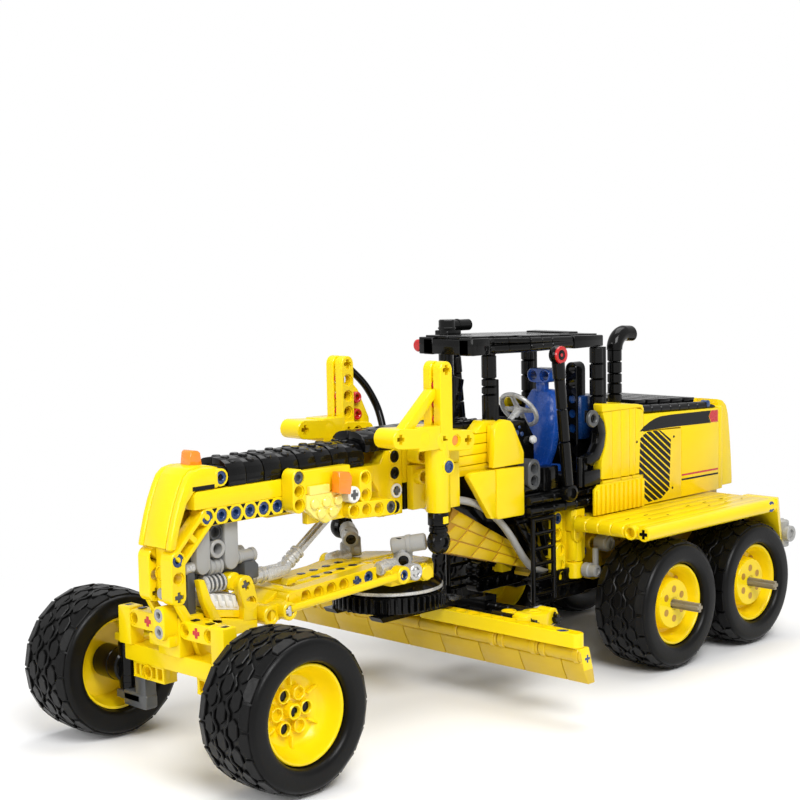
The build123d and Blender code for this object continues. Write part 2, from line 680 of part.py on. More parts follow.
louvres = plan(louvre_plan, hood_low, crest + 1).intersect(plate(louvre_side, -40.0, 40.0))
rib_panel = block(HOOD_MID + 7.0, HOOD_X + 13.0, HOOD_HALF + GAP, HOOD_HALF + 3.0, hood_low, hood_low + 17.0)
rib_step = 3.9
for i in range(12):
    x = HOOD_X + 11.0 - i * rib_step
    groove = block(x - 1.2, x, HOOD_HALF + 1.8, HOOD_HALF + 4.0, hood_low + 2.0, hood_low + 18.0)
    rib_panel = rib_panel.cut(groove)
louvres = louvres if isinstance(louvres, list) else [louvres]
save("louvre_block", louvres + both(rib_panel))
hood = [
    (HOOD_MID - 0.2, hood_low),
    (HOOD_MID - 0.2, crest - 5.0),
    (HOOD_END + 5.0, crest - 11.0),
    (HOOD_END + 1.0, crest - 18.0),
    (HOOD_END - 1.0, hood_low),
]
save("hood", plate(hood, -HOOD_HALF, HOOD_HALF))
grille = [
    (HOOD_MID - 3.0, crest - 4.8),
    (HOOD_MID - 3.0, crest - 1.0),
    (HOOD_END + 14.0, crest - 6.5),
    (HOOD_END + 8.0, crest - 10.5),
]
save("hood_grille", plate(grille, 6.0 - HOOD_HALF, HOOD_HALF - 6.0))
pipe_x = HOOD_MID + 5.0
pipe = fuse(
    rod((pipe_x, 20.0, crest - 2.6), (pipe_x, 20.0, ROOF_Z - 10.0), 4.2, 12),
    rod((pipe_x + 1.0, 20.0, ROOF_Z - 12.0), (pipe_x - 10.0, 20.0, ROOF_Z - 3.0), 4.2, 12),
)
save("exhaust", pipe)
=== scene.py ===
# %% [markdown]
# # A toy motor grader, dressed for a photograph
# The toy is built from pinned plastic beams: bright yellow arms and panels, black frames, six rubber tyres.
# The solids come in as the frame. This lesson gives them finishes and models the small pieces that
# a beam toy is known by: holes with a stepped rim, blue pins, cross axles, tread blocks, ribs and hoses.

# %% The frame and its box
import bmesh
import bpy
import math
from mathutils import Matrix, Vector


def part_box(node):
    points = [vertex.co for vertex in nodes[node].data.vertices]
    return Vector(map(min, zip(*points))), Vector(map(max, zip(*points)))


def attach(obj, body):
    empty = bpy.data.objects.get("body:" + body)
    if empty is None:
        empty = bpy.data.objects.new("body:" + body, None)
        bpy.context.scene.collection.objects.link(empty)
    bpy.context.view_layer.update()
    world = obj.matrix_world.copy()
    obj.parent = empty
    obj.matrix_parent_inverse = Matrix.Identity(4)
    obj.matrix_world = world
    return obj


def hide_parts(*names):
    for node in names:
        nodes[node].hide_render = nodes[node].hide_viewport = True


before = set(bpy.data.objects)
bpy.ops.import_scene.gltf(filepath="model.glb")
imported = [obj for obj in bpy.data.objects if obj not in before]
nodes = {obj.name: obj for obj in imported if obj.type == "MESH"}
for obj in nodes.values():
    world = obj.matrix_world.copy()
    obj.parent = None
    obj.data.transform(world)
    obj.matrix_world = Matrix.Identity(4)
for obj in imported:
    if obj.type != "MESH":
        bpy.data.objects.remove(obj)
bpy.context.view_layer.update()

# %% [markdown]
# The toy stands on white paper under large soft lamps, as a catalogue picture is taken. The camera stands
# in front of the toy's left side, a little above it, with a long lens. Its place was found by matching
# the six wheels, and it is written as a place, a turn and a lens, so the picture is the same each run.

# %% Camera
CAMERA_PLACE = Vector((0.6160, 0.5750, 0.2279))
CAMERA_TURN = math.radians(44.054)
CAMERA_RISE = math.radians(6.038)
CAMERA_ROLL = math.radians(-0.956)

back = Vector((
    math.cos(CAMERA_RISE) * math.cos(CAMERA_TURN),
    math.cos(CAMERA_RISE) * math.sin(CAMERA_TURN),
    math.sin(CAMERA_RISE),
))
level = Vector((0, 0, 1)).cross(back).normalized()
upright = back.cross(level)
right = level * math.cos(CAMERA_ROLL) + upright * math.sin(CAMERA_ROLL)
up = upright * math.cos(CAMERA_ROLL) - level * math.sin(CAMERA_ROLL)
lens = bpy.data.cameras.new("photo_camera")
lens.sensor_width = 36.0
lens.lens = 74.77
lens.shift_x = -0.0341
lens.shift_y = 0.0156
camera = bpy.data.objects.new("photo_camera", lens)
camera.matrix_world = Matrix((
    (right.x, up.x, back.x, CAMERA_PLACE.x),
    (right.y, up.y, back.y, CAMERA_PLACE.y),
    (right.z, up.z, back.z, CAMERA_PLACE.z),
    (0, 0, 0, 1),
))
bpy.context.scene.collection.objects.link(camera)
bpy.context.scene.camera = camera
bpy.context.scene.view_settings.view_transform = "Standard"
print("camera at", tuple(round(v, 3) for v in CAMERA_PLACE))

# %% [markdown]
# The background is white to the eye and to shiny plastic, but lights the toy only softly. Light Path tells
# the three kinds of ray apart: what the camera or a reflection sees is white, what lights is dimmer.
# The paper is lit and holds the shadow near the toy, and turns to plain white away from it.

# %% World, floor and lamps
WORLD_LIGHT = 0.26
WORLD_MIRRORED = 0.75
WHITE_LIGHT = (1, 1, 1, 1)


def node(tree, kind, operation=None, **values):
    """A shader node with its values set; an underscore in a label stands for a space."""
    made = tree.nodes.new("ShaderNode" + kind)
    if operation:
        made.operation = operation
    for label, value in values.items():
        made.inputs[label.replace("_", " ")].default_value = value
    return made


def wire(tree, *links):
    """Join outputs to inputs, given in pairs."""
    for start, end in links:
        tree.links.new(start, end)


world = bpy.data.worlds.new("white_studio")
bpy.context.scene.world = world
world.use_nodes = True
wires = world.node_tree
wires.nodes.clear()
path = node(wires, "LightPath")
seen = node(wires, "Math", "MAXIMUM")
mirrored = node(wires, "Math", "MULTIPLY_ADD")
mirrored.inputs[1].default_value = WORLD_MIRRORED - WORLD_LIGHT
mirrored.inputs[2].default_value = WORLD_LIGHT
strength = node(wires, "Math", "MAXIMUM")
sky = node(wires, "Background", Color=WHITE_LIGHT)
out = node(wires, "OutputWorld")
wire(
    wires,
    (path.outputs["Is Camera Ray"], seen.inputs[0]),
    (path.outputs["Is Transmission Ray"], seen.inputs[1]),
    (path.outputs["Is Glossy Ray"], mirrored.inputs[0]),
    (seen.outputs[0], strength.inputs[0]),
    (mirrored.outputs[0], strength.inputs[1]),
    (strength.outputs[0], sky.inputs["Strength"]),
    (sky.outputs[0], out.inputs["Surface"]),
)

floor_mesh = bpy.data.meshes.new("paper_floor")
bm = bmesh.new()
bmesh.ops.create_grid(bm, x_segments=1, y_segments=1, size=6.0)
bmesh.ops.translate(bm, vec=(0, 0, -0.0002), verts=bm.verts)
bm.to_mesh(floor_mesh)
bm.free()
floor = bpy.data.objects.new("paper_floor", floor_mesh)
bpy.context.scene.collection.objects.link(floor)
paper = bpy.data.materials.new("white_paper")
paper.use_nodes = True
sheet = paper.node_tree
skin = sheet.nodes["Principled BSDF"]
skin.inputs["Base Color"].default_value = (0.93, 0.93, 0.93, 1)
skin.inputs["Roughness"].default_value = 0.9
skin.inputs["Specular IOR Level"].default_value = 0.1
place = node(sheet, "TexCoord")
far = node(sheet, "VectorMath", "LENGTH")
fade = node(sheet, "MapRange", From_Min=0.16, From_Max=0.42)
fade.interpolation_type = "SMOOTHSTEP"
path = node(sheet, "LightPath")
seen = node(sheet, "Math", "ADD")
clear = node(sheet, "Math", "ADD")
seen.use_clamp = clear.use_clamp = True
share = node(sheet, "Math", "MULTIPLY")
white = node(sheet, "Emission", Color=WHITE_LIGHT)
mix = node(sheet, "MixShader")
wire(
    sheet,
    (place.outputs["Object"], far.inputs[0]),
    (far.outputs["Value"], fade.inputs["Value"]),
    (path.outputs["Is Camera Ray"], seen.inputs[0]),
    (path.outputs["Is Glossy Ray"], seen.inputs[1]),
    (seen.outputs[0], clear.inputs[0]),
    (path.outputs["Is Transmission Ray"], clear.inputs[1]),
    (clear.outputs[0], share.inputs[0]),
    (fade.outputs["Result"], share.inputs[1]),
    (share.outputs[0], mix.inputs["Fac"]),
    (skin.outputs[0], mix.inputs[1]),
    (white.outputs[0], mix.inputs[2]),
    (mix.outputs[0], sheet.nodes["Material Output"].inputs["Surface"]),
)
floor_mesh.materials.append(paper)


def soft_lamp(name, place, target, size, watts):
    """A square lamp at a place, turned to a target."""
    data = bpy.data.lights.new(name, "AREA")
    data.shape = "SQUARE"
    data.size = size
    data.energy = watts
    lamp = bpy.data.objects.new(name, data)
    lamp.location = place
    lamp.rotation_euler = (Vector(target) - Vector(place)).to_track_quat("-Z", "Y").to_euler()
    bpy.context.scene.collection.objects.link(lamp)


soft_lamp("key_lamp", (0.55, 0.95, 1.05), (0, 0, 0.08), 0.7, 18.0)
soft_lamp("nose_lamp", (1.2, -0.25, 0.55), (0.1, 0, 0.08), 0.6, 5.5)
soft_lamp("top_lamp", (-0.25, -0.1, 1.3), (0, 0, 0.1), 0.9, 9.0)
print("stage: floor, world and three lamps")

# %% [markdown]
# Every finish here is moulded plastic or rubber, so one group of nodes serves them all. It reads Object
# coordinates, which are metres, and puts out a slow change of colour, fine scuffs and a faint moulded grain.

# %% Shared plastic surface
def new_group(name, inputs, outputs):
    """A shader node group with named sockets."""
    group = bpy.data.node_groups.new(name, "ShaderNodeTree")
    for label, kind, value in inputs:
        socket = group.interface.new_socket(label, in_out="INPUT", socket_type=kind)
        if value is not None:
            socket.default_value = value
    for label, kind in outputs:
        group.interface.new_socket(label, in_out="OUTPUT", socket_type=kind)
    return group


surface = new_group(
    "moulded_surface",
    [
        ("Colour", "NodeSocketColor", (0.8, 0.8, 0.8, 1)),
        ("Deep Colour", "NodeSocketColor", (0.5, 0.5, 0.5, 1)),
        ("Roughness", "NodeSocketFloat", 0.25),
        ("Scuffs", "NodeSocketFloat", 0.3),
    ],
    [("Colour", "NodeSocketColor"), ("Roughness", "NodeSocketFloat"), ("Height", "NodeSocketFloat")],
)
taken = surface.nodes.new("NodeGroupInput")
given = surface.nodes.new("NodeGroupOutput")
place = node(surface, "TexCoord")
slow = node(surface, "TexNoise", Scale=34.0, Detail=3.0)
slow_range = node(surface, "MapRange", From_Min=0.35, From_Max=0.72, To_Max=0.4)
tint = node(surface, "Mix")
tint.data_type = "RGBA"
scuff = node(surface, "TexNoise", Scale=420.0, Detail=6.0, Roughness=0.7)
scuff_range = node(surface, "MapRange", From_Min=0.45, From_Max=0.8)
scuff_amount = node(surface, "Math", "MULTIPLY")
rough = node(surface, "Math", "ADD")
rough.use_clamp = True
grain = node(surface, "TexNoise", Scale=900.0, Detail=4.0)
wire(
    surface,
    (place.outputs["Object"], slow.inputs["Vector"]),
    (slow.outputs["Fac"], slow_range.inputs["Value"]),
    (slow_range.outputs["Result"], tint.inputs["Factor"]),
    (taken.outputs["Colour"], tint.inputs["A"]),
    (taken.outputs["Deep Colour"], tint.inputs["B"]),
    (tint.outputs["Result"], given.inputs["Colour"]),
    (place.outputs["Object"], scuff.inputs["Vector"]),
    (scuff.outputs["Fac"], scuff_range.inputs["Value"]),
    (scuff_range.outputs["Result"], scuff_amount.inputs[0]),
    (taken.outputs["Scuffs"], scuff_amount.inputs[1]),
    (taken.outputs["Roughness"], rough.inputs[0]),
    (scuff_amount.outputs[0], rough.inputs[1]),
    (rough.outputs[0], given.inputs["Roughness"]),
    (place.outputs["Object"], grain.inputs["Vector"]),
    (grain.outputs["Fac"], given.inputs["Height"]),
)
print("group:", surface.name)


slot_of = {}


def plastic(name, slot, colour, deep, roughness, scuffs=0.25, bump=0.04, coat=0.0, metallic=0.0, shine=0.5):
    """A moulded finish from the shared surface, with its own colours and gloss, and its slot."""
    material = bpy.data.materials.new(name)
    slot_of[material] = slot
    material.use_nodes = True
    tree = material.node_tree
    skin = tree.nodes["Principled BSDF"]
    group = tree.nodes.new("ShaderNodeGroup")
    group.node_tree = surface
    group.inputs["Colour"].default_value = (*colour, 1)
    group.inputs["Deep Colour"].default_value = (*deep, 1)
    group.inputs["Roughness"].default_value = roughness
    group.inputs["Scuffs"].default_value = scuffs
    relief = node(tree, "Bump", Strength=bump, Distance=0.0006)
    wire(
        tree,
        (group.outputs["Colour"], skin.inputs["Base Color"]),
        (group.outputs["Roughness"], skin.inputs["Roughness"]),
        (group.outputs["Height"], relief.inputs["Height"]),
        (relief.outputs["Normal"], skin.inputs["Normal"]),
    )
    skin.inputs["Coat Weight"].default_value = coat
    skin.inputs["Coat Roughness"].default_value = 0.08
    skin.inputs["Metallic"].default_value = metallic
    skin.inputs["Specular IOR Level"].default_value = shine
    return material

# %% [markdown]
# The toy's colours are few: bright yellow, black, greys, silver, white, tan, blue, red, amber, clear
# yellow and black rubber. Each finish is the shared surface with its own colours and gloss, so that a
# finish is one call and all of them scuff alike. Two deeper yellows are painted shade: they stand for
# yellow pieces that lie in the shade of others.

# %% Finishes
# Painted shade: a darker copy of the yellow for yellow pieces that lie in shade.
SHADE_PAINTED_YELLOW = plastic("shade_painted_yellow_plastic", "yellow_plastic", (0.64, 0.43, 0.003), (0.53, 0.34, 0.002),
                       0.28)
SHADED_YELLOW = plastic("shaded_yellow_plastic", "yellow_plastic", (0.46, 0.24, 0.006),
                        (0.36, 0.17, 0.004), 0.30)
YELLOW = plastic("yellow_plastic", "yellow_plastic", (0.91, 0.68, 0.004), (0.87, 0.58, 0.003),
                 0.18, scuffs=0.12, coat=0.08, shine=0.26)
BLACK = plastic("black_plastic", "black_plastic", (0.003, 0.003, 0.003), (0.005, 0.005, 0.005),
                0.10, scuffs=0.06, shine=0.20)
GREY = plastic("light_grey_plastic", "grey_plastic", (0.36, 0.36, 0.35), (0.28, 0.28, 0.27), 0.28)
DARK_GREY = plastic("dark_grey_plastic", "grey_plastic", (0.075, 0.078, 0.08), (0.055, 0.057, 0.06), 0.28)
SILVER = plastic("silver_plastic", "silver_plastic", (0.56, 0.56, 0.55), (0.46, 0.46, 0.45),
                 0.24, coat=0.3, metallic=0.3)
WHITE = plastic("white_plastic", "silver_plastic", (0.86, 0.86, 0.84), (0.78, 0.78, 0.76), 0.22)
TAN = plastic("tan_plastic", "tan_plastic", (0.26, 0.22, 0.15), (0.20, 0.17, 0.11), 0.30)
AMBER = plastic("amber_plastic", "amber_plastic", (0.90, 0.26, 0.008), (0.82, 0.20, 0.005),
                0.10, scuffs=0.08, coat=0.5)
BLUE = plastic("blue_plastic", "blue_plastic", (0.014, 0.085, 0.42), (0.010, 0.060, 0.30), 0.20, coat=0.2)
PIN_BLUE = plastic("pin_blue_plastic", "blue_plastic", (0.006, 0.040, 0.16), (0.004, 0.024, 0.09),
                   0.22, coat=0.3)
CLEAR = plastic("clear_yellow_plastic", "yellow_plastic", (0.95, 0.80, 0.16), (0.93, 0.72, 0.08),
                0.06, scuffs=0.05, coat=0.6)
RED = plastic("red_plastic", "amber_plastic", (0.55, 0.006, 0.008), (0.45, 0.004, 0.006), 0.20, coat=0.3)
RUBBER = plastic("tyre_rubber", "tyre_rubber", (0.003, 0.003, 0.003), (0.006, 0.006, 0.006),
                 0.30, scuffs=0.2, bump=0.08, shine=0.16)
solid_finishes = (YELLOW, BLACK, GREY, SILVER, TAN, AMBER, BLUE, RUBBER)
finish_of_slot = {slot_of[finish]: finish for finish in solid_finishes}
for solid in nodes.values():
    skins = solid.data.materials
    slot_name = skins[0].name.split(".")[0] if skins else ""
    skins.clear()
    skins.append(finish_of_slot.get(slot_name, YELLOW))
print("finishes on", len(nodes), "solids")

# %% [markdown]
# The toy's pieces sit on an 8 mm grid, so they are easiest to think of in millimetres from the front axle.
# Each shape is made in a small mesh of its own and joined to its piece, and the piece is scaled to metres
# and moved into the frame once, at the end, so that its object stays at the origin.

# %% From millimetres at the front axle to the frame
front_low, front_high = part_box("tyre_front_left")
front_x = (front_low[0] + front_high[0]) / 2
TO_FRAME = Matrix.Translation((front_x, 0, 0)) @ Matrix.Scale(0.001, 4)
ACROSS_Y = Matrix(((1, 0, 0, 0), (0, 0, 1, 0), (0, 1, 0, 0), (0, 0, 0, 1)))
ACROSS_X = Matrix(((0, 0, 1, 0), (1, 0, 0, 0), (0, 1, 0, 0), (0, 0, 0, 1)))
UPRIGHT = Matrix.Identity(4)
MERGE_DISTANCE = 0.002
SHARP_ANGLE = math.radians(38)


def absorb(bm, part, place=UPRIGHT):
    """Join a small mesh to a piece's mesh."""
    bmesh.ops.transform(part, matrix=place, verts=part.verts)
    scratch = bpy.data.meshes.new("scratch")
    part.to_mesh(scratch)
    part.free()
    bm.from_mesh(scratch)
    bpy.data.meshes.remove(scratch)


def twin(bm):
    """Add the same shapes on the other side of the toy."""
    bmesh.ops.mirror(bm, geom=bm.verts[:] + bm.edges[:] + bm.faces[:], axis="Y")


def piece(name, bm, finish, body="chassis", slot=None, hides=()):
    """Turn a finished mesh into an object that rides on a body; its slot is worked out from its finish but
    not put on the object.
    """
    slot = slot or slot_of[finish]
    bmesh.ops.remove_doubles(bm, verts=bm.verts, dist=MERGE_DISTANCE)
    bmesh.ops.recalc_face_normals(bm, faces=bm.faces)
    bmesh.ops.transform(bm, matrix=TO_FRAME, verts=bm.verts)
    mesh = bpy.data.meshes.new(name)
    bm.to_mesh(mesh)
    bm.free()
    mesh.polygons.foreach_set("use_smooth", [True] * len(mesh.polygons))
    mesh.set_sharp_from_angle(angle=SHARP_ANGLE)
    mesh.materials.append(finish)
    made = bpy.data.objects.new(name, mesh)
    bpy.context.scene.collection.objects.link(made)
    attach(made, body)
    if hides:
        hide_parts(*hides)
    print(name, len(mesh.polygons), "faces")


print("front axle at x =", round(front_x, 4), "m")

# %% [markdown]
# Four plain makers' shapes give nearly everything: a box with softened edges, an outline pushed through,
# a profile spun on a lathe, and a rod between two points.

# %% Box, slab, turned piece and rod
EDGE_STEPS = 2


def only(geom, kind):
    """The vertices or the edges of an operator's result."""
    return [item for item in geom if isinstance(item, kind)]


def push(part, faces, reach):
    """Push faces of a small mesh out by a vector."""
    grown = bmesh.ops.extrude_face_region(part, geom=faces)["geom"]
    bmesh.ops.translate(part, vec=reach, verts=only(grown, bmesh.types.BMVert))


def soften(part, soft):
    """Round every edge of a small mesh."""
    bmesh.ops.bevel(
        part, geom=part.edges[:], offset=soft, segments=EDGE_STEPS, profile=0.5, affect="EDGES", material=-1,
    )


def along(direction):
    """A turn that lays the z axis along a direction."""
    return Vector(direction).to_track_quat("Z", "Y").to_matrix().to_4x4()


def lump(bm, low, high, soft=0.5):
    """A box between two corners."""
    size = Vector(high) - Vector(low)
    middle = (Vector(high) + Vector(low)) / 2
    part = bmesh.new()
    bmesh.ops.create_cube(part, size=1.0, matrix=Matrix.Translation(middle) @ Matrix.Diagonal((*size, 1)))
    if soft:
        soften(part, soft)
    absorb(bm, part)


def slab(bm, outline, low, high, way=ACROSS_Y, soft=0.4):
    """An outline pushed through from low to high."""
    part = bmesh.new()
    face = part.faces.new([part.verts.new((a, b, low)) for a, b in outline])
    push(part, [face], (0, 0, high - low))
    if soft:
        soften(part, soft)
    absorb(bm, part, way)


def turned(bm, profile, centre, way=ACROSS_Y, steps=24):
    """A lathe piece from (radius, height) points."""
    part = bmesh.new()
    line = [part.verts.new((radius, 0, height)) for radius, height in profile]
    edges = [part.edges.new(pair) for pair in zip(line, line[1:])]
    bmesh.ops.spin(
        part, geom=line + edges, cent=(0, 0, 0), axis=(0, 0, 1),
        angle=2 * math.pi, steps=steps, use_merge=True
    )
    bmesh.ops.remove_doubles(part, verts=part.verts, dist=0.001)
    absorb(bm, part, Matrix.Translation(centre) @ way)


def rod(bm, start, end, radius, steps=16, soft=0.3):
    """A round rod between two points."""
    reach = Vector(end) - Vector(start)
    far = reach.length
    profile = [(0, 0), (radius - soft, 0), (radius, soft), (radius, far - soft), (radius - soft, far),
               (0, far)]
    turned(bm, profile, start, along(reach), steps)


def ring(bm, centre, way, outer, inner, low, high, steps=24, soft=0.25):
    """A flat ring with softened rims."""
    turned(bm, [
        (inner, low + soft), (inner + soft, low), (outer - soft, low),
        (outer, low + soft), (outer, high - soft), (outer - soft, high),
        (inner + soft, high), (inner, high - soft), (inner, low + soft),
    ], centre, way, steps)

# %% [markdown]
# The beam with pin holes is what such a toy is known by. Each hole has a wider step at both mouths, where
# a pin's collar sits. One hole is grown from a circle by extruding its edge: up the bore, out along the
# step, up to the face, and out to the border of its cell. Cells merge into a beam, and a mirror adds the
# other half. A cross hole starts from the same circle with its points pulled to a plus.

# %% Beam with pin holes
HOLE = 2.4
STEP = 3.05
STEP_DEEP = 0.85
EDGE = 0.35


def cross_point(angle, arm=2.35, web=0.95):
    """The point of a plus sign that stands for an angle of a sixteen-sided circle."""
    c, s = math.cos(angle), math.sin(angle)
    if abs(abs(c) - abs(s)) < 0.01:
        return Vector((math.copysign(web, c), math.copysign(web, s)))
    if abs(c) > abs(s):
        return Vector((math.copysign(arm, c), 0 if abs(s) < 0.01 else math.copysign(web, s)))
    return Vector((0 if abs(c) < 0.01 else math.copysign(web, c), math.copysign(arm, s)))


def holed_beam(bm, start, step, count, through=(0, 1, 0), thick=7.8, width=7.8, crossed=()):
    """A round-ended beam: first hole, vector from hole to hole, how many, and the holes' direction."""
    pitch = Vector(step).length
    half = thick / 2
    border = width / 2 - EDGE
    part = bmesh.new()
    for index in range(count):
        middle = Vector((index * pitch, 0))
        mouth = bmesh.ops.create_circle(
            part, segments=16, radius=HOLE, matrix=Matrix.Translation((middle.x, 0, 0))
        )["verts"]
        for vert in mouth:
            if index in crossed:
                angle = math.atan2(vert.co.y, vert.co.x - middle.x)
                vert.co.xy = middle + cross_point(angle)
        edges = list({edge for vert in mouth for edge in vert.link_edges})
        for stage in ("bore", "step", "rim", "border"):
            grown = bmesh.ops.extrude_edge_only(part, edges=edges)["geom"]
            edges = only(grown, bmesh.types.BMEdge)
            for vert in only(grown, bmesh.types.BMVert):
                spot = vert.co.xy - middle
                if stage == "bore":
                    vert.co.z = half - STEP_DEEP
                elif stage == "step" and index not in crossed:
                    vert.co.xy = middle + spot * (STEP / HOLE)
                elif stage == "rim":
                    vert.co.z = half
                elif stage == "border":
                    angle = math.atan2(spot.y, spot.x)
                    c, s = math.cos(angle), math.sin(angle)
                    if index in crossed and abs(abs(c) - abs(s)) > 0.05:
                        angle = round(angle / (math.pi / 8)) * math.pi / 8
                        c, s = math.cos(angle), math.sin(angle)
                    if (index == 0 and c < -0.01) or (index == count - 1 and c > 0.01):
                        vert.co.xy = middle + Vector((c, s)) * border
                    else:
                        wide = max(-1, min(1, math.sqrt(2) * c)) * pitch / 2
                        vert.co.xy = middle + Vector((wide, max(-1, min(1, math.sqrt(2) * s)) * border))
    bmesh.ops.remove_doubles(part, verts=part.verts, dist=0.01)
    rim = [edge for edge in part.edges if edge.is_boundary and edge.verts[0].co.z > half - 0.01]
    for stage in ("chamfer", "wall"):
        grown = bmesh.ops.extrude_edge_only(part, edges=rim)["geom"]
        rim = only(grown, bmesh.types.BMEdge)
        for vert in only(grown, bmesh.types.BMVert):
            if stage == "chamfer":
                core = Vector((max(0, min((count - 1) * pitch, vert.co.x)), 0))
                vert.co.xy += (vert.co.xy - core).normalized() * EDGE
                vert.co.z = half - EDGE
            else:
                vert.co.z = 0
    bmesh.ops.mirror(part, geom=part.verts[:] + part.edges[:] + part.faces[:], axis="Z", merge_dist=0.001)
    bmesh.ops.remove_doubles(part, verts=part.verts, dist=0.001)
    u = Vector(step).normalized()
    w = Vector(through).normalized()
    v = w.cross(u)
    turn = Matrix((u, v, w)).transposed().to_4x4()
    absorb(bm, part, Matrix.Translation(start) @ turn)


def pin(bm, place, way, deep=0.25):
    """The end of a pin in its hole: a collar and a hollow middle."""
    turned(bm, [
        (0, -2.2), (1.45, -2.2), (1.5, -0.2 - deep), (1.7, -deep), (2.25, -deep), (2.4, -0.15 - deep),
        (2.95, -0.2 - deep), (3.0, -0.9),
    ], place, way, 16)


BLIND_PIN = [(0, 0.05), (1.45, 0.05), (1.55, 0.5), (2.3, 0.5), (2.5, 0.2), (2.9, 0.1), (3.0, -0.4)]


def cross_axle(bm, start, end, arm=2.3, web=0.85):
    """A plus-shaped axle between two points."""
    reach = Vector(end) - Vector(start)
    part = bmesh.new()
    mouth = bmesh.ops.create_circle(part, segments=16, radius=arm, cap_ends=True)["verts"]
    for vert in mouth:
        vert.co.xy = cross_point(math.atan2(vert.co.y, vert.co.x), arm, web)
    push(part, part.faces[:], (0, 0, reach.length))
    bmesh.ops.bevel(
        part, geom=[edge for edge in part.edges if edge.calc_face_angle(0) > 0.5],
        offset=0.15, segments=1, profile=0.5, affect="EDGES", material=-1,
    )
    absorb(bm, part, Matrix.Translation(start) @ along(reach))


LEFT = along((0, 1, 0))
RIGHT = along((0, -1, 0))
FRONT = along((1, 0, 0))
BACK = along((-1, 0, 0))
print("hole", HOLE * 2, "mm across, step", STEP * 2, "mm")

# %% [markdown]
# Two thin hoses run along the toy: a black one loops from the right lift tower to its saddle, and a grey one
# lies along the sloping side plate. A hose is one smooth curve, so it is a NURBS curve through a few route
# points with a round bevel, and its ends go into the pieces that hold it.

# %% Hoses
HOSE_RADIUS = 0.0019


def hose(name, route, finish, hides):
    """A curve of one spline along route points in millimetres."""
    data = bpy.data.curves.new(name, "CURVE")
    data.dimensions = "3D"
    line = data.splines.new("NURBS")
    line.points.add(len(route) - 1)
    for point, place in zip(line.points, route):
        point.co = (*(TO_FRAME @ Vector(place)), 1)
    line.order_u = 3
    line.use_endpoint_u = True
    line.resolution_u = 10
    data.bevel_depth = HOSE_RADIUS
    data.bevel_resolution = 4
    data.use_fill_caps = True
    data.materials.append(finish)
    made = bpy.data.objects.new(name, data)
    bpy.context.scene.collection.objects.link(made)
    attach(made, "chassis")
    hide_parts(hides)
    return made


black_hose = hose("tower_hose", [
    (-133.6, -33.8, 162.0), (-141.2, -33.4, 156.2), (-147.0, -32.0, 147.6), (-149.8, -29.2, 138.2),
    (-147.6, -24.6, 129.0),
], BLACK, "black_hose")
grey_hose = hose("side_hose", [
    (-150.8, 20.6, 98.8), (-161.0, 20.8, 97.0), (-172.0, 21.0, 92.0), (-183.0, 21.2, 84.5),
    (-192.5, 21.2, 74.5), (-201.0, 21.0, 63.0), (-210.5, 20.6, 54.0), (-221.2, 20.0, 51.4),
], GREY, "grey_hose")
print("two hoses,", 2000 * HOSE_RADIUS, "mm thick")

# %% [markdown]
# A tyre of such a toy is one soft rubber ring. Its tread is low: rows of long hexagon blocks, each row
# set half a block on from the next, with zigzag ribs between the rows and short lugs on the shoulders.
# The ring is spun from its profile. One block or rib of each row is made, and spin with duplicates
# carries it round.

# %% Tyres
TYRE_R = 34.35
GROOVE_R = 33.3
BLOCKS = 18
BLOCK_DEEP = 2.4
WHEELS = {
    "front_left": (0, 64), "front_right": (0, -64),
    "rear_1_left": (-264, 60), "rear_1_right": (-264, -60),
    "rear_2_left": (-336, 60), "rear_2_right": (-336, -60),
}


def round_axis(bm, part, count, turn=0.0):
    """Repeat a small mesh round the z axis."""
    bmesh.ops.transform(part, matrix=Matrix.Rotation(turn, 4, "Z"), verts=part.verts)
    bmesh.ops.spin(
        part, geom=part.verts[:] + part.edges[:] + part.faces[:], cent=(0, 0, 0), axis=(0, 0, 1),
        angle=2 * math.pi * (count - 1) / count, steps=count - 1, use_duplicate=True,
    )
    absorb(bm, part)


def tread_row(bm, corners, top, across, shift, tilt=0.0):
    """A ring of low blocks about the z axis, from a block's outline as (along, across) points."""
    part = bmesh.new()
    face = part.faces.new([part.verts.new((-BLOCK_DEEP, a, b)) for a, b in corners])
    push(part, [face], (BLOCK_DEEP, 0, 0))
    rim = [edge for edge in part.edges if all(vert.co.x > -0.1 for vert in edge.verts)]
    bmesh.ops.bevel(part, geom=rim, offset=0.3, segments=1, profile=0.5, affect="EDGES", material=-1)
    for vert in part.verts:
        vert.co.x -= vert.co.y ** 2 / (2 * TYRE_R)
    seat = Matrix.Translation((top, 0, across)) @ Matrix.Rotation(-tilt, 4, "Y")
    bmesh.ops.transform(part, matrix=seat, verts=part.verts)
    round_axis(bm, part, BLOCKS, shift * 2 * math.pi / BLOCKS)


BLOCK = [(-4.7, 0), (-2.5, 2.6), (2.5, 2.6), (4.7, 0), (2.5, -2.6), (-2.5, -2.6)]
RIB = [(-6.0, 1.15), (-3.4, 1.15), (-0.9, -1.05), (2.6, -1.05), (5.1, 1.15), (6.0, 1.15), (6.0, 2.45),
       (4.5, 2.45), (2.1, 0.3), (-0.4, 0.3), (-2.9, 2.45), (-6.0, 2.45)]
LUG = [(-5.2, -1.2), (-3.2, -2.7), (3.2, -2.7), (5.2, -1.2), (5.2, 2.2), (-5.2, 2.2)]


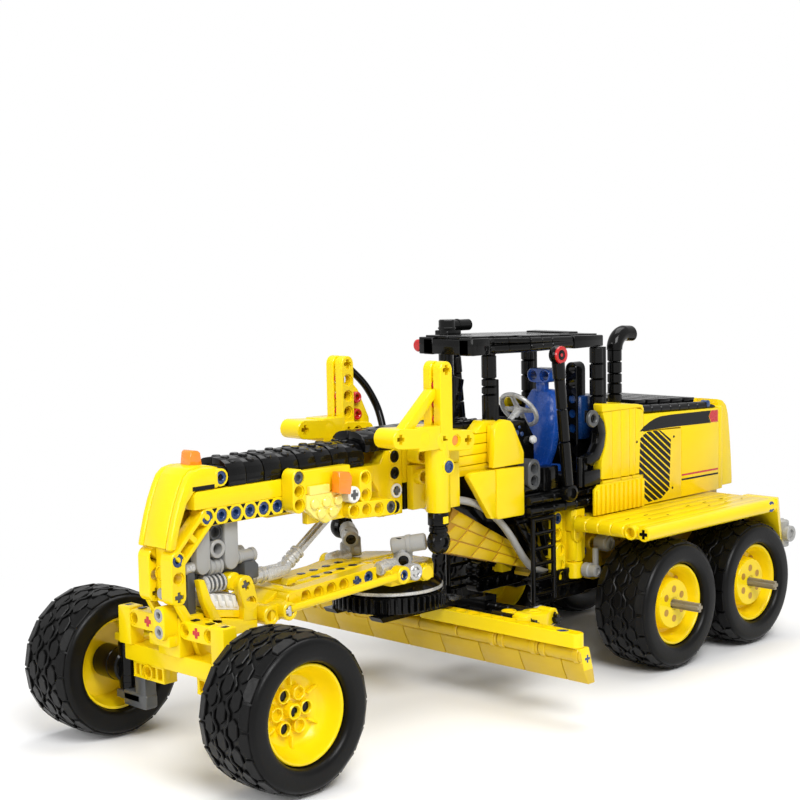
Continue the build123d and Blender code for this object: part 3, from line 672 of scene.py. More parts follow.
def tyre_mesh():
    """A tyre about the z axis."""
    bm = bmesh.new()
    side = [(21.7, 11.6), (21.9, 14.4), (22.5, 15.9), (23.6, 16.7), (25.0, 16.95), (29.4, 16.95),
            (30.6, 16.7), (31.6, 16.0), (32.2, 14.8), (32.6, 12.6), (GROOVE_R - 0.3, 7.4)]
    profile = side + [(GROOVE_R, 0)] + [(radius, -across) for radius, across in reversed(side)] + [side[0]]
    turned(bm, profile, (0, 0, 0), UPRIGHT, 72)
    for row, across in enumerate((-7.4, 0, 7.4)):
        tread_row(bm, BLOCK, TYRE_R - (0 if row == 1 else 0.35), across, 0.5 * (row % 2),
                  math.radians(0.4) * across)
    for side in (-1, 1):
        tread_row(bm, [(a, side * (b - 0.75)) for a, b in RIB], TYRE_R - 0.12, 3.75 * side, 0.06)
        tread_row(bm, [(a, side * b) for a, b in LUG], TYRE_R - 0.95, 13.2 * side, 0.5,
                  math.radians(12) * side)
    return bm


for name, (x, y) in WHEELS.items():
    tyre = tyre_mesh()
    facing = LEFT if y > 0 else RIGHT
    bmesh.ops.transform(tyre, matrix=Matrix.Translation((x, y, TYRE_R)) @ facing, verts=tyre.verts)
    piece("tread_" + name, tyre, RUBBER, "wheel_" + name, hides=("tyre_" + name,))

# %% [markdown]
# The front rims are deep dishes with six ringed holes round a small hub. The rear rims are smooth bowls with
# a raised boss, six plain holes and a tan cross axle that sticks out. Both are spun, and the rings
# and holes are set round the axis with spin.

# %% Rims
INSIDE = [(18.8, -9.0), (20.2, -12.6), (21.3, -12.8), (21.5, -12.0), (20.6, -8.0), (20.6, 8.0), (21.3, 13.0)]


def front_rim():
    """Deep dish, six ringed holes, ribs and a hub that stands out."""
    bm = bmesh.new()
    face = [(21.3, 12.9), (20.9, 13.4), (20.1, 13.4), (19.6, 12.8), (19.0, 9.4), (15.4, 3.2), (14.6, 2.6),
            (4.0, 2.4), (3.5, 2.8), (3.4, 6.6), (3.0, 7.0), (2.6, 7.0), (2.4, 6.6), (2.4, 2.0), (0, 2.0)]
    turned(bm, [(0, 0.9), (17.4, 0.9)] + INSIDE[:-1] + face, (0, 0, 0), UPRIGHT, 56)
    part = bmesh.new()
    ring(part, (8.0, 0, 0), UPRIGHT, 3.15, 2.45, 2.2, 5.0, 20, 0.2)
    round_axis(bm, part, 6)
    part = bmesh.new()
    lump(part, (10.8, -0.5, 2.0), (16.4, 0.5, 4.6), 0.2)
    round_axis(bm, part, 6, math.pi / 6)
    return bm


def front_rim_dark():
    """Three of the holes go through and look dark: black discs in them are painted shade."""
    bm = bmesh.new()
    part = bmesh.new()
    turned(part, [(0, 3.4), (2.2, 3.4), (2.4, 3.1), (2.4, 2.6)], (8.0, 0, 0), UPRIGHT, 16)
    round_axis(bm, part, 3)
    return bm


def rear_rim():
    """Smooth bowl with a raised boss."""
    bm = bmesh.new()
    face = [(21.3, 12.9), (20.9, 13.4), (20.0, 13.4), (19.6, 12.9), (19.0, 10.2), (17.6, 6.2), (16.2, 4.4),
            (14.4, 4.0), (13.7, 4.4), (13.2, 10.4), (12.6, 11.3), (9.9, 11.5), (3.6, 11.5), (3.2, 11.1),
            (2.5, 11.0), (2.4, 9.0), (0, 9.0)]
    turned(bm, [(0, -2.0), (17.4, -2.0)] + INSIDE[:-1] + face, (0, 0, 0), UPRIGHT, 56)
    return bm


def rear_rim_dark():
    """The shaded bottoms of the holes, each with a thin rim, and small openings in the groove."""
    bm = bmesh.new()
    part = bmesh.new()
    turned(part, [(0, 11.55), (1.5, 11.55), (1.75, 11.6), (1.9, 11.55), (1.95, 11.3)], (7.8, 0, 0),
           UPRIGHT, 16)
    round_axis(bm, part, 6, math.pi / 6)
    part = bmesh.new()
    slab(part, [(15.0, -2.0), (17.6, -0.6), (17.6, 0.6), (15.0, 2.0)], 4.6, 5.2, UPRIGHT, 0.2)
    round_axis(bm, part, 4, math.pi / 4)
    return bm


for name, (x, y) in WHEELS.items():
    body = "wheel_" + name
    seat = Matrix.Translation((x, y, TYRE_R)) @ (LEFT if y > 0 else RIGHT)
    rim = front_rim() if "front" in name else rear_rim()
    dark = front_rim_dark() if "front" in name else rear_rim_dark()
    bmesh.ops.transform(rim, matrix=seat, verts=rim.verts)
    bmesh.ops.transform(dark, matrix=seat, verts=dark.verts)
    piece("hub_" + name, rim, YELLOW, body, hides=("rim_" + name,))
    piece("hub_holes_" + name, dark, BLACK if "front" in name else SHADED_YELLOW, body, slot="black_plastic")
    if "rear" in name:
        axle = bmesh.new()
        side = math.copysign(1, y)
        cross_axle(axle, (x, 34 * side, TYRE_R), (x, 88 * side, TYRE_R))
        piece("cross_axle_" + name, axle, TAN, body, hides=("axle_" + name,))

# %% [markdown]
# Behind the nose sit the works of the front end: two light grey round-ended plates with a ring connector
# between them, tubes with collars under them, dark grey beams, a white ribbed block on a yellow base, and
# a silver jointed shaft that runs back to the neck. They are many small stock parts, so each is a slab,
# ring or rod at its own place.

# %% Works behind the nose
plates = bmesh.new()
for high_x, low_x, front_top in ((-0.6, -8.2, 98.6), (-16.4, -24.1, 104.3)):
    middle, half = (high_x + low_x) / 2, (high_x - low_x) / 2
    foot = [(middle + half * math.cos(math.pi * k / 8),
             86.5 + half * math.sin(math.pi * k / 8)) for k in range(8, 17)]
    slab(plates, [(high_x, front_top), (low_x, 104.3)] + foot, 3.4, 7.8, soft=0.5)
ring(plates, (-12.2, 3.6, 93.1), LEFT, 4.1, 2.5, -4.0, 4.6)
rod(plates, (-8.4, 3.9, 85.0), (-16.2, 3.9, 85.0), 3.4, 20, 0.4)
for x in (-9.6, -12.3, -15.0):
    ring(plates, (x, 3.9, 85.0), FRONT, 3.9, 3.2, -0.8, 0.8, 20)
rod(plates, (-24.0, 4.2, 87.0), (-35.9, 4.2, 87.0), 2.8, 20, 0.4)
for x in (-26.2, -34.4):
    ring(plates, (x, 4.2, 87.0), FRONT, 3.2, 2.6, -1.0, 1.0, 20)
twin(plates)
piece("grey_plates", plates, GREY, hides=("front_gearbox",))
beams = bmesh.new()
slab(beams, [(-28.2, 76.6), (-35.8, 76.6), (-35.8, 82.6), (-33.8, 84.8), (-27.4, 84.8), (-27.4, 78.2)],
     -7.6, 7.6, soft=0.8)
lump(beams, (-35.6, -4.2, 72.2), (-29.4, 4.2, 78.0), 1.0)
lump(beams, (-27.6, -3.2, 78.4), (-3.0, 3.2, 104.2))
holed_beam(beams, (-12.3, 4.6, 100.3), (-8, 0, 0), 1, thick=5.0, width=7.6)
slab(beams, [(-1.0, 65.4), (3.4, 65.4), (3.4, 86.2), (1.2, 87.6), (-1.0, 86.2)], -5.9, 5.9, soft=0.6)
rod(beams, (-7.0, 4.6, 77.5), (-17.4, 4.6, 77.5), 3.5, 20, 0.4)
piece("dark_grey_beams", beams, DARK_GREY)
tubes = bmesh.new()
ring(tubes, (-5.9, 4.6, 77.5), FRONT, 4.5, 2.3, -1.2, 1.2, 24, 0.4)
for x in (-8.8, -11.2, -13.6, -16.0):
    ring(tubes, (x, 4.6, 77.5), FRONT, 3.95, 3.3, -0.55, 0.55)
rod(tubes, (5.2, 4.6, 86.3), (-0.8, 4.6, 86.3), 2.4, 20, 0.4)
ring(tubes, (4.2, 4.6, 86.3), FRONT, 2.9, 2.2, -0.8, 0.8, 20)
piece("bright_tubes", tubes, SILVER)
base = bmesh.new()
slab(base, [(-4.4, 64.2), (-26.0, 60.0), (-26.0, 63.4), (-6.0, 67.0)], -8.8, 8.8, soft=0.3)
holed_beam(base, (-24.1, 10.1, 75.5), (-2.6, 0, -8.2), 2, thick=4.2, width=8.8, crossed=(0,))
slab(base, [(-22.2, 59.6), (-30.2, 59.0), (-30.6, 66.6), (-23.0, 68.8)], 8.1, 12.1, soft=0.5)
rod(base, (-20.8, 2.0, 77.1), (-20.8, 8.6, 77.1), 4.2, 24, 0.9)
twin(base)
piece("works_base", base, YELLOW)
axle_marks = bmesh.new()
cross_axle(axle_marks, (-24.1, 8.4, 75.5), (-24.1, 11.6, 75.5), 2.2, 0.8)
cross_axle(axle_marks, (12.5, 8.2, 76), (12.5, 11.4, 76), 2.2, 0.8)
twin(axle_marks)
piece("works_axle_ends", axle_marks, DARK_GREY)
ribs = bmesh.new()
slab(ribs, [(-6.0, 71.2), (-24.9, 67.5), (-25.9, 63.4), (-7.0, 67.0)], -8.4, 8.4)
for index in range(5):
    x, z = -6.2 - index * 4.0, 72.2 - index * 0.78
    slab(ribs, [(x, z + 1.8), (x - 2.2, z + 1.4), (x - 3.4, z - 4.2), (x - 1.2, z - 3.8)],
         -9.2, 9.2, soft=0.35)
piece("white_ribbed_block", ribs, WHITE)

# %% [markdown]
# A silver jointed shaft runs back from the works and then slants up to the neck. It is a tube with
# collars, a fork round a joint, and a second tube with a cross axle. Both halves lie along straight
# lines, so they are rods and rings set out by their distance along each line.

# %% Jointed shaft
shaft = bmesh.new()
rod(shaft, (-35.0, 0, 75.6), (-45.5, 0, 75.8), 3.4, 20, 0.4)
for x in (-38.2, -42.8):
    ring(shaft, (x, 0, 75.7), FRONT, 3.9, 3.2, -0.9, 0.9, 20)
for side in (-2.6, 2.6):
    slab(shaft, [(-44.6, 73.2), (-44.6, 78.4), (-56.0, 78.6), (-58.4, 76.8), (-56.0, 74.4)],
         side - 0.9, side + 0.9)
turned(shaft, [(0, -3.4), (2.4, -2.8), (3.1, -1.0), (3.1, 1.0), (2.4, 2.8), (0, 3.4)], (-56.6, 0, 76.8),
       LEFT, 20)
start = Vector((-56.6, 0, 76.8))
rise = (Vector((-84.6, 0, 96.6)) - start).normalized()
rod(shaft, start + rise * 2, start + rise * 12, 3.0, 20, 0.4)
for far in (4.2, 7.4, 10.6):
    ring(shaft, start + rise * far, along(rise), 3.5, 2.8, -0.9, 0.9, 20)
cross_axle(shaft, start + rise * 11, start + rise * 34, 2.3, 0.9)
piece("jointed_shaft", shaft, SILVER, hides=("drive_shaft",))

# %% [markdown]
# The front axle is two beams one above the other. The upper one is holed, with red cross axle ends and
# blocks at its ends, and slanted arms rise from it to the legs of the neck. Short holed brackets hang
# under the lower one. Black knuckles turn at its ends on dark grey arms.

# %% Front axle
axle = bmesh.new()
lump(axle, (-3.9, -35.9, 40.6), (7.9, 35.9, 48.6), 0.6)
for side in (-1, 1):
    first, pitch = (10.8, 8.1) if side > 0 else (-5.0, -10.4)
    holed_beam(axle, (5.9, first, 61.0), (0, pitch, 0), 3, through=(1, 0, 0),
               thick=7.6, width=8.2, crossed=(1,))
    low, high = sorted((28.4 * side, 37.4 * side))
    lump(axle, (2.1, low, 48.2), (9.8, high, 65.5), 0.7)
    low, high = sorted((30.0 * side, 47.9 * side))
    lump(axle, (-4.9, low, 46.7), (4.9, high, 50.3), 0.6)
    holed_beam(axle, (1.0, 23.4 * side, 35.8), (0, 8 * side, 0), 1, through=(1, 0, 0), thick=8.6, width=7.4)
    low, high = sorted((11.6 * side, 34.4 * side))
    lump(axle, (-2.8, low, 38.4), (4.6, high, 41.0), 0.4)
    lump(axle, (-2.8, low, 32.0), (4.6, high, 33.6), 0.4)
    lump(axle, (-2.8, low, 33.0), (1.2, high, 39.0), 0.4)
    for y in (12.6, 17.4, 29.4, 33.4):
        lump(axle, (0.8, y * side - 0.9, 32.6), (4.5, y * side + 0.9, 39.4), 0.3)
lump(axle, (-3.9, -7.8, 48.2), (10.2, 7.8, 66.0), 0.7)
lump(axle, (9.8, -7.8, 53.4), (15.0, 7.0, 58.4), 0.8)
holed_beam(axle, (13.8, 3.1, 67.8), (0, 0, -7.4), 2, through=(1, 0, 0), thick=7.6)
slab(axle, [(-3.2, 64.0), (-30.6, 58.8), (-30.6, 54.2), (-3.2, 54.2)], -11.8, 11.8, soft=0.5)
for low, high in ((8.0, 11.8), (-11.8, -8.0)):
    slab(axle, [(14.0, 73.2), (9.6, 72.2), (2.0, 60.0), (6.8, 60.0)], low, high, soft=0.5)
    slab(axle, [(1.8, 81.6), (-1.4, 81.6), (-5.0, 72.0), (-11.4, 60.6), (-5.6, 60.6), (-0.4, 71.6)],
         low, high, soft=0.5)
    slab(axle, [(6.8, 61.0), (-11.4, 61.0), (-5.9, 48.4), (2.0, 48.4)], low, high, soft=0.5)
lump(axle, (8.2, -4.0, 72.4), (12.6, 4.0, 96.0), 0.4)
holed_beam(axle, (11.4, -0.2, 85.0), (0, 8, 0), 1, through=(1, 0, 0), thick=4.0, width=7.6)
piece("axle_beams", axle, YELLOW, hides=("front_axle",))
axle_reds = bmesh.new()
for y in (-15.4, 18.9):
    cross_axle(axle_reds, (4.0, y, 61.0), (9.9, y, 61.0), 2.3, 0.9)
piece("axle_red_ends", axle_reds, RED)
axle_pins = bmesh.new()
for z in (67.8, 60.4):
    pin(axle_pins, (17.7, 3.1, z), FRONT, 0.0)
rod(axle_pins, (9.6, -0.2, 76.2), (13.8, -0.2, 76.2), 2.5, 20, 0.5)
piece("axle_grey_pins", axle_pins, GREY)
axle_slots = bmesh.new()
for y in (-34, -24, -14, 14, 24, 34):
    lump(axle_slots, (4.4, y - 1.4, 65.2), (7.6, y + 1.4, 65.56), 0)
piece("axle_top_slots", axle_slots, BLACK)
KNUCKLE_Y = 44
for name, side in (("left", 1), ("right", -1)):
    arm = bmesh.new()
    rod(arm, (0, KNUCKLE_Y * side, 24.4), (0, KNUCKLE_Y * side, 46.2), 4.8, 20, 0.5)
    for low, high in ((27.5, 31.0), (39.5, 43.0)):
        ring(arm, (0, KNUCKLE_Y * side, 0), UPRIGHT, 5.0, 4.2, low, high, 20)
    rod(arm, (0, KNUCKLE_Y * side, TYRE_R), (0, 62.6 * side, TYRE_R), 7.8, 24, 0.8)
    ring(arm, (0, 52 * side, TYRE_R), LEFT, 7.99, 7.0, -1.2, 1.2)
    cross_axle(arm, (0, 62 * side, TYRE_R), (0, 69.4 * side, TYRE_R), 2.3, 0.9)
    piece("turning_knuckle_" + name, arm, BLACK, "knuckle_" + name[0], hides=("knuckle_" + name,))
lower_arms = bmesh.new()
lump(lower_arms, (-1.6, 25.6, 23.2), (4.8, 33.6, 32.4), 0.9)
slab(lower_arms, [(25.2, 18.4), (25.2, 23.8), (26.6, 25.0), (42.4, 25.0), (42.4, 17.6), (26.6, 17.4)],
     -1.8, 4.9, ACROSS_X, 1.0)
lump(lower_arms, (-4.9, 30.0, 20.1), (4.9, 47.9, 23.9), 0.6)
twin(lower_arms)
piece("lower_grey_arms", lower_arms, DARK_GREY)

# %% [markdown]
# The neck is two bent side frames of beams. The lower beam has a row of pinned holes, runs down a slotted
# slope to the front, and ends in a leg with three holes. The upper beam is plain. At the back both meet a
# taller end piece. One side is made and mirrored, and the pins are pieces of their own in dark blue and
# black.

# %% Neck frames
NECK_OUT = 11.9
NECK_MID = 8.0
neck = bmesh.new()
holed_beam(neck, (-4, NECK_MID, 108.5), (-8, 0, 0), 7)
holed_beam(neck, (12.5, NECK_MID, 92), (0, 0, -8), 3, crossed=(2,))
slab(neck, [(-8.2, 106.4), (9.6, 88.6), (15.2, 94.2), (-2.4, 111.8)], 4.15, 5.4)
for low, high in ((0.0, 0.26), (0.74, 1.0)):
    start, end = Vector((-8.2, 106.4)), Vector((-2.6, 112.0))
    a, b = start.lerp(end, low), start.lerp(end, high)
    run = Vector((17.6, -17.6))
    slab(neck, [a, a + run, b + run, b], 4.2, NECK_OUT - 0.1)
for share in (0.0, 0.46, 0.9):
    near = Vector((-8.2, 106.4)) + Vector((17.6, -17.6)) * share
    slab(neck, [near, near + Vector((1.8, -1.8)), near + Vector((7.3, 3.7)), near + Vector((5.5, 5.5))],
         4.2, NECK_OUT - 0.4)
slab(neck, [(3, 112.4), (3, 118.6), (1.2, 120.4), (-104.5, 120.4), (-104.5, 112.4)], 4.1, NECK_OUT, soft=0.5)
slab(neck, [(-104, 112.6), (-108, 107), (-106.5, 97), (-108, 94.6), (-123.9, 94.6), (-123.9, 104.5),
            (-122.4, 105.2), (-123.9, 106.2), (-123.9, 126.4), (-113, 126.4), (-109, 120.4),
            (-104, 120.4)], 4.1, NECK_OUT - 0.3, soft=0.5)
slab(neck, [(-52, 104.8), (-57, 112.4), (-50, 112.4)], 4.3, NECK_OUT - 0.6)
for x, z in ((-118.5, 123), (-118.5, 115), (-118.5, 98.5), (-110.5, 98.5)):
    ring(neck, (x, NECK_OUT - 0.5, z), LEFT, 3.9, 3.0, -0.6, 0.75, 16, 0.2)
twin(neck)
piece("neck_frames", neck, YELLOW, hides=("neck_beams",))

blue_pins = bmesh.new()
for index in range(6):
    pin(blue_pins, (-4 - 8 * index, NECK_OUT, 108.5), LEFT)
pin(blue_pins, (12.5, NECK_OUT, 92), LEFT)
twin(blue_pins)
piece("neck_blue_pins", blue_pins, PIN_BLUE)
black_pins = bmesh.new()
for z in (123, 115, 98.5):
    turned(black_pins, BLIND_PIN, (-118.5, NECK_OUT + 0.1, z), LEFT, 20)
turned(black_pins, BLIND_PIN, (-110.5, NECK_OUT + 0.1, 98.5), LEFT, 20)
for index in range(7):
    x = -8 - 8 * index
    slab(black_pins, [(x - 1.5, 104.9), (x + 1.5, 104.9), (x, 107.0)], 11.5, NECK_OUT + 0.02, soft=0)
    slab(black_pins, [(x - 1.5, 112.1), (x + 1.5, 112.1), (x, 110.0)], 11.5, NECK_OUT + 0.02, soft=0)
lump(black_pins, (-8.4, 11.2, 120.9), (3.6, 11.86, 122.7), 0)
twin(black_pins)
piece("neck_black_pins", black_pins, BLACK)

# %% [markdown]
# The nose is a smooth curved panel between the side frames. It could be a bent sheet, but its ends are
# thick, so it is one outline that follows the curve, pushed through across the toy. A flange and a pinned
# round end stand on each side, and a small amber lamp on its top.

# %% Nose
nose = bmesh.new()
curve = [(-16, 128.6), (-9, 130.4), (-2, 130.9), (2.4, 130.0), (5.6, 127.4), (8, 123), (10.6, 117),
         (12.8, 110.5), (14.6, 104), (16.3, 97.1), (12.9, 97.1), (10.2, 107), (6.2, 116.5), (1.8, 121.2),
         (-16, 121.2)]
slab(nose, curve, -7.6, 7.6, soft=0.5)
for side in (-1, 1):
    low, high = sorted((7.8 * side, 11.8 * side))
    flange = [(max(a, -11.0) + (0.25 if a > 0 else 0), b - 0.5) for a, b in curve]
    slab(nose, flange, low, high, soft=1.0)
    holed_beam(nose, (-12.2, 9.8 * side, 125.1), (8, 0, 0), 1, thick=4.2, width=8.0)
piece("nose_shell", nose, YELLOW, hides=("nose_panel",))
nose_lamp = bmesh.new()
slab(nose_lamp, [(-1.8, 130.4), (-8.6, 130.2), (-7.8, 135.8), (-6.6, 136.8), (-3.6, 137.2), (-2.6, 136.2)],
     -3.5, 3.5, soft=0.5)
piece("nose_amber_lamp", nose_lamp, AMBER)
nose_pins = bmesh.new()
pin(nose_pins, (-12.2, 11.9, 125.1), LEFT)
twin(nose_pins)
piece("nose_pins", nose_pins, PIN_BLUE)

# %% [markdown]
# The black cover along the neck is a double row of short glossy pieces, each a little arched, with open
# joints that catch the light. Each piece is half of the same outline across the neck, pushed along it,
# and the other half mirrored.

# %% Neck cover
cover = bmesh.new()
ARCH = [(0.12, 0), (11.6, 0), (11.7, 4.6), (10.9, 7.6), (9.0, 9.8), (6.4, 11.1), (3.2, 11.7), (0.12, 11.9)]
length = (99.0 - 16.3) / 8
for index in range(8):
    start = -16.3 - index * length
    dip = 0.5 if index % 2 else 0.0
    slab(cover, [(y - dip * 0.4, 120.75 + z * (1 - dip * 0.06)) for y, z in ARCH],
         start - length + 0.15, start - 0.15, ACROSS_X, 0.3)
    rod(cover, (start - 0.6, 10.3, 122.6), (start - length + 0.6, 10.3, 122.6), 1.55, 12, 0.4)
    for y, z in ((2.9, 132.0), (7.2, 130.4)):
        turned(cover, [(0, 0.95), (1.7, 0.95), (2.2, 0.5), (2.3, -0.6)], (start - length * 0.5, y, z),
               UPRIGHT, 14)
low = (148.9 - 99.4) / 5
for index in range(5):
    start = -99.4 - index * low
    slab(cover, [(y, 126.75 + z * 0.82) for y, z in ARCH], start - low + 0.15, start - 0.15, ACROSS_X, 0.3)
slab(cover, [(-10.6, 120.8), (-16.2, 120.8), (-16.2, 128.2), (-14.6, 129.8), (-13.2, 128.6)], 0.2, 10.6)
twin(cover)
piece("cover_pieces", cover, BLACK, hides=("neck_cover",))

# %% [markdown]
# On each side of the neck hangs a lamp bracket: an upright holed beam, a clear yellow block with studs
# beside it, an amber block lamp leaning back, and a white round piece on a cross axle.

# %% Lamp brackets
bracket = bmesh.new()
holed_beam(bracket, (-50.2, 16, 121.2), (0, 0, -6.2), 3)
lump(bracket, (-84, 12.2, 112.6), (-54, 17.6, 123.4))
lump(bracket, (-84, 12.2, 98.4), (-58, 15.6, 112.4))
holed_beam(bracket, (-92, 15.8, 108.4), (0, 0, 8), 2, thick=7.4)
holed_beam(bracket, (-84, 15.9, 101.8), (-8, 0, -0.4), 4)
twin(bracket)
piece("lamp_bracket_beams", bracket, YELLOW, hides=("lamp_brackets",))
clear = bmesh.new()
slab(clear, [(-54.6, 112.4), (-54.6, 106), (-59.6, 101.6), (-66.4, 98.2), (-72.6, 100.2), (-76.6, 104.6),
             (-76.6, 112.4)], 15.4, 19.6, soft=0.7)
for x, z in ((-59.0, 108.4), (-66.2, 108.4), (-73.4, 108.4), (-62.8, 103.6), (-70.0, 103.4)):
    turned(clear, [(0, 1.6), (2.0, 1.6), (2.5, 1.2), (2.5, -0.4)], (x, 19.5, z), LEFT, 20)
lump(clear, (-69, 17.4, 112.2), (-56.6, 19.8, 116.4), 0.6)
twin(clear)
piece("lamp_clear_blocks", clear, CLEAR)
lamp_white = bmesh.new()
turned(lamp_white, [(0, -8), (3.2, -8), (3.9, -7.4), (3.9, -0.6), (3.4, 0), (2.6, 0), (2.5, -0.5),
                    (0, -0.5)], (-83, 21.4, 109.6), LEFT)
ring(lamp_white, (-119.4, 11.6, 106.3), LEFT, 3.5, 2.3, -0.6, 0.9)
twin(lamp_white)
piece("lamp_white_rounds", lamp_white, WHITE)
lamp_axles = bmesh.new()
cross_axle(lamp_axles, (-119.4, 11.0, 106.3), (-119.4, 12.7, 106.3), 2.1, 0.8)
cross_axle(lamp_axles, (-83, 18, 109.6), (-83, 21.3, 109.6), 2.2, 0.8)
pin(lamp_axles, (-50.2, 19.95, 121.2), LEFT, 0.6)
pin(lamp_axles, (-108, 19.9, 100.6), LEFT)
twin(lamp_axles)
piece("lamp_axle_ends", lamp_axles, DARK_GREY)
amber = bmesh.new()
slab(amber, [(-69.6, 112.2), (-77.4, 110.8), (-78.6, 118.8), (-76.8, 121.4), (-70.6, 122)],
     19.6, 24.8, soft=0.6)
slab(amber, [(-70.4, 113.4), (-76.8, 112.2), (-77.4, 117.4), (-70.8, 118.2)], 24.6, 25.0, soft=0.15)
twin(amber)
piece("amber_block_lamps", amber, AMBER, hides=("amber_lamps",))

# %% [markdown]
# A lift tower stands on each side of the neck. It is two thin round-headed beams with red pins in the gap
# between them, a thin slanted brace, a cross arm with cross holes, and a round sleeve below, out of which
# comes the black rod that carries the drawbar. The two towers differ in their brace, in the holes of
# their beams and in how far the arm reaches.

# %% Lift towers
TOWER_X = -126.5
ARM_X = -124.6
ROD_X = TOWER_X + 1
ROD_Y = 33.8


def tower(side, brace, arm_back):
    """One tower on the left (1) or right (-1)."""
    bm = bmesh.new()
    drop, count = (-32, 2) if side > 0 else (-8, 5)
    for low, high in ((28.0, 33.0), (34.6, 39.6)):
        head = (TOWER_X, (low + high) / 2, 165.4)
        holed_beam(bm, head, (0, 0, drop), count, thick=high - low, width=8.2, crossed=(0,))
    lump(bm, (TOWER_X - 2.4, 32.6, 134), (TOWER_X + 2.6, 35, 137.4), 0.2)
    lump(bm, (TOWER_X - 3.4, 32.6, 152), (TOWER_X + 2.2, 35, 155), 0.2)
    lump(bm, (TOWER_X - 3.4, 32.6, 160.6), (TOWER_X + 2.6, 35, 168), 0.4)
    slab(bm, brace, 31.0, 36.6, soft=0.5)
    holed_beam(bm, (-95.5, 32.85, 135.4), (-16, 0, -1.1), 2, thick=13.4, width=9.4, crossed=(0,))
    slab(bm, [(-107.6, 139.8), (-107.6, 128.4), (-121.4, 128.2), (-122.4, 130), (-122.4, 139.6)],
         26.2, 39.5, soft=0.6)
    pitch = (arm_back - ARM_X) / 2
    holed_beam(bm, (ARM_X, 32.85, 131.9), (pitch, 0, -0.6), 3, thick=13.4, width=9.8, crossed=(0, 2))
    turned(bm, [(5.55, 97.6), (5.75, 97.6), (5.95, 97.9), (5.95, 132), (5.55, 132), (5.55, 97.6)],
           (ROD_X, ROD_Y, 0), UPRIGHT, 36)
    lump(bm, (TOWER_X - 7, 26.2, 111.2), (TOWER_X + 1, 29.4, 132.8))
    ring(bm, (TOWER_X - 0.6, 38.9, 119.4), LEFT, 4.0, 2.8, -2.2, 1.0)
    if side < 0:
        bmesh.ops.scale(bm, vec=(1, -1, 1), verts=bm.verts)
    return bm


for name, side, brace, back in (
    ("left", 1, [(-122.4, 152.6), (-122.4, 156.6), (-119.8, 156.4), (-100.6, 139.8), (-100.6, 136),
                 (-104.6, 136)], -141.2),
    ("right", -1, [(-130.4, 154.6), (-133.4, 154.6), (-136.2, 151.8), (-143.6, 137), (-143.6, 132.6),
                   (-130.4, 132.6)], -137.5),
):
    mast = tower(side, brace, back)
    piece("tower_" + name, mast, YELLOW, hides=("lift_tower_" + name,))
    reds = bmesh.new()
    for z in (158, 149, 142):
        rod(reds, (ROD_X, (ROD_Y - 1) * side, z), (ROD_X, (ROD_Y + 1) * side, z), 2.4, 16, 0.2)
    if side < 0:
        for z in (148.2, 139.7):
            turned(reds, [(1.5, -1), (1.5, 2.6), (1.9, 3.0), (2.6, 3.0), (2.9, 2.6), (2.9, 0.2),
                          (2.4, -1)], (-133, -31, z), LEFT, 20)
    piece("tower_red_pins_" + name, reds, RED)
    blues = bmesh.new()
    facing = LEFT if side > 0 else RIGHT
    turned(blues, BLIND_PIN, (TOWER_X - 0.6, 40.0 * side, 119.4), facing, 20)
    piece("tower_pins_" + name, blues, PIN_BLUE)
    round_holes = bmesh.new()
    turned(round_holes, [(0, -1), (2.3, -1)], (ARM_X + (back - ARM_X) / 2, 39.4 * side, 131.3), facing, 16)
    piece("tower_amber_holes_" + name, round_holes, AMBER)
    eye = bmesh.new()
    rod(eye, (ROD_X, ROD_Y * side, 86), (ROD_X, ROD_Y * side, 110.2), 3.9, 20, 0.4)
    rod(eye, (ROD_X, ROD_Y * side, 109), (ROD_X, ROD_Y * side, 118), 2.6, 16, 0.4)
    turned(eye, [(0, -4), (3.0, -4), (3.4, -3.6), (5.4, -2.6), (6.1, -1), (6.1, 1), (5.4, 2.6), (3.4, 3.6),
                 (3.0, 4), (2.4, 4), (2.2, 3), (0, 3)], (ROD_X, ROD_Y * side, 83), facing, 28)
    turned(eye, [(0, 90.6), (4.2, 90.6), (5.1, 91.4), (5.1, 96.6), (4.8, 97.2), (0, 97.2)],
           (ROD_X, ROD_Y * side, 0), UPRIGHT, 28)
    ring(eye, (ROD_X, ROD_Y * side, 0), UPRIGHT, 4.6, 3.7, 87.8, 89.8)
    piece("rod_end_" + name, eye, BLACK, "lift_" + name[0], hides=("lift_rod_" + name,))
    mark = bmesh.new()
    low, high = sorted((37.4 * side, 39.0 * side))
    lump(mark, (-127.2, low, 92.2), (-123.8, high, 95.6), 0.15)
    piece("rod_yellow_mark_" + name, mark, YELLOW, "lift_" + name[0])

# %% [markdown]
# The blade is built in three courses, as beam toys do it: on top a round-ended beam with holes, in two
# lengths that meet in the middle, below it eight round tubes with collars, and then sloping tiles down to
# the edge, set half a length on from the tubes. Each length is a shape of its own, so that the joints are
# real gaps.

# %% Blade courses
BLADE_Y = 103.9
blade = bmesh.new()
for start in (100.0, -4.0):
    holed_beam(blade, (-147.2, start, 41.5), (0, -8, 0), 13, through=(0, 0, 1), thick=6.8, width=7.0)
TUBE_X, TUBE_Z = -148.6, 34.4
piece_of_blade = BLADE_Y / 4
lower = bmesh.new()
for index in range(8):
    start = BLADE_Y - index * piece_of_blade
    rod(lower, (TUBE_X, start - 0.25, TUBE_Z), (TUBE_X, start - piece_of_blade + 0.25, TUBE_Z), 3.6, 20, 0.5)
    for y in (start - piece_of_blade * 0.12, start - piece_of_blade * 0.88):
        if abs(y) > 38:
            ring(lower, (TUBE_X, y, TUBE_Z), LEFT, 4.2, 3.4, -1.6, 1.6, 20, 0.3)
TILE = [(-146.9, 30.6), (-148.4, 26.4), (-151.6, 20.1), (-156.4, 20.1), (-155.0, 28.0), (-152.4, 33.6),
        (-149.8, 33.6)]
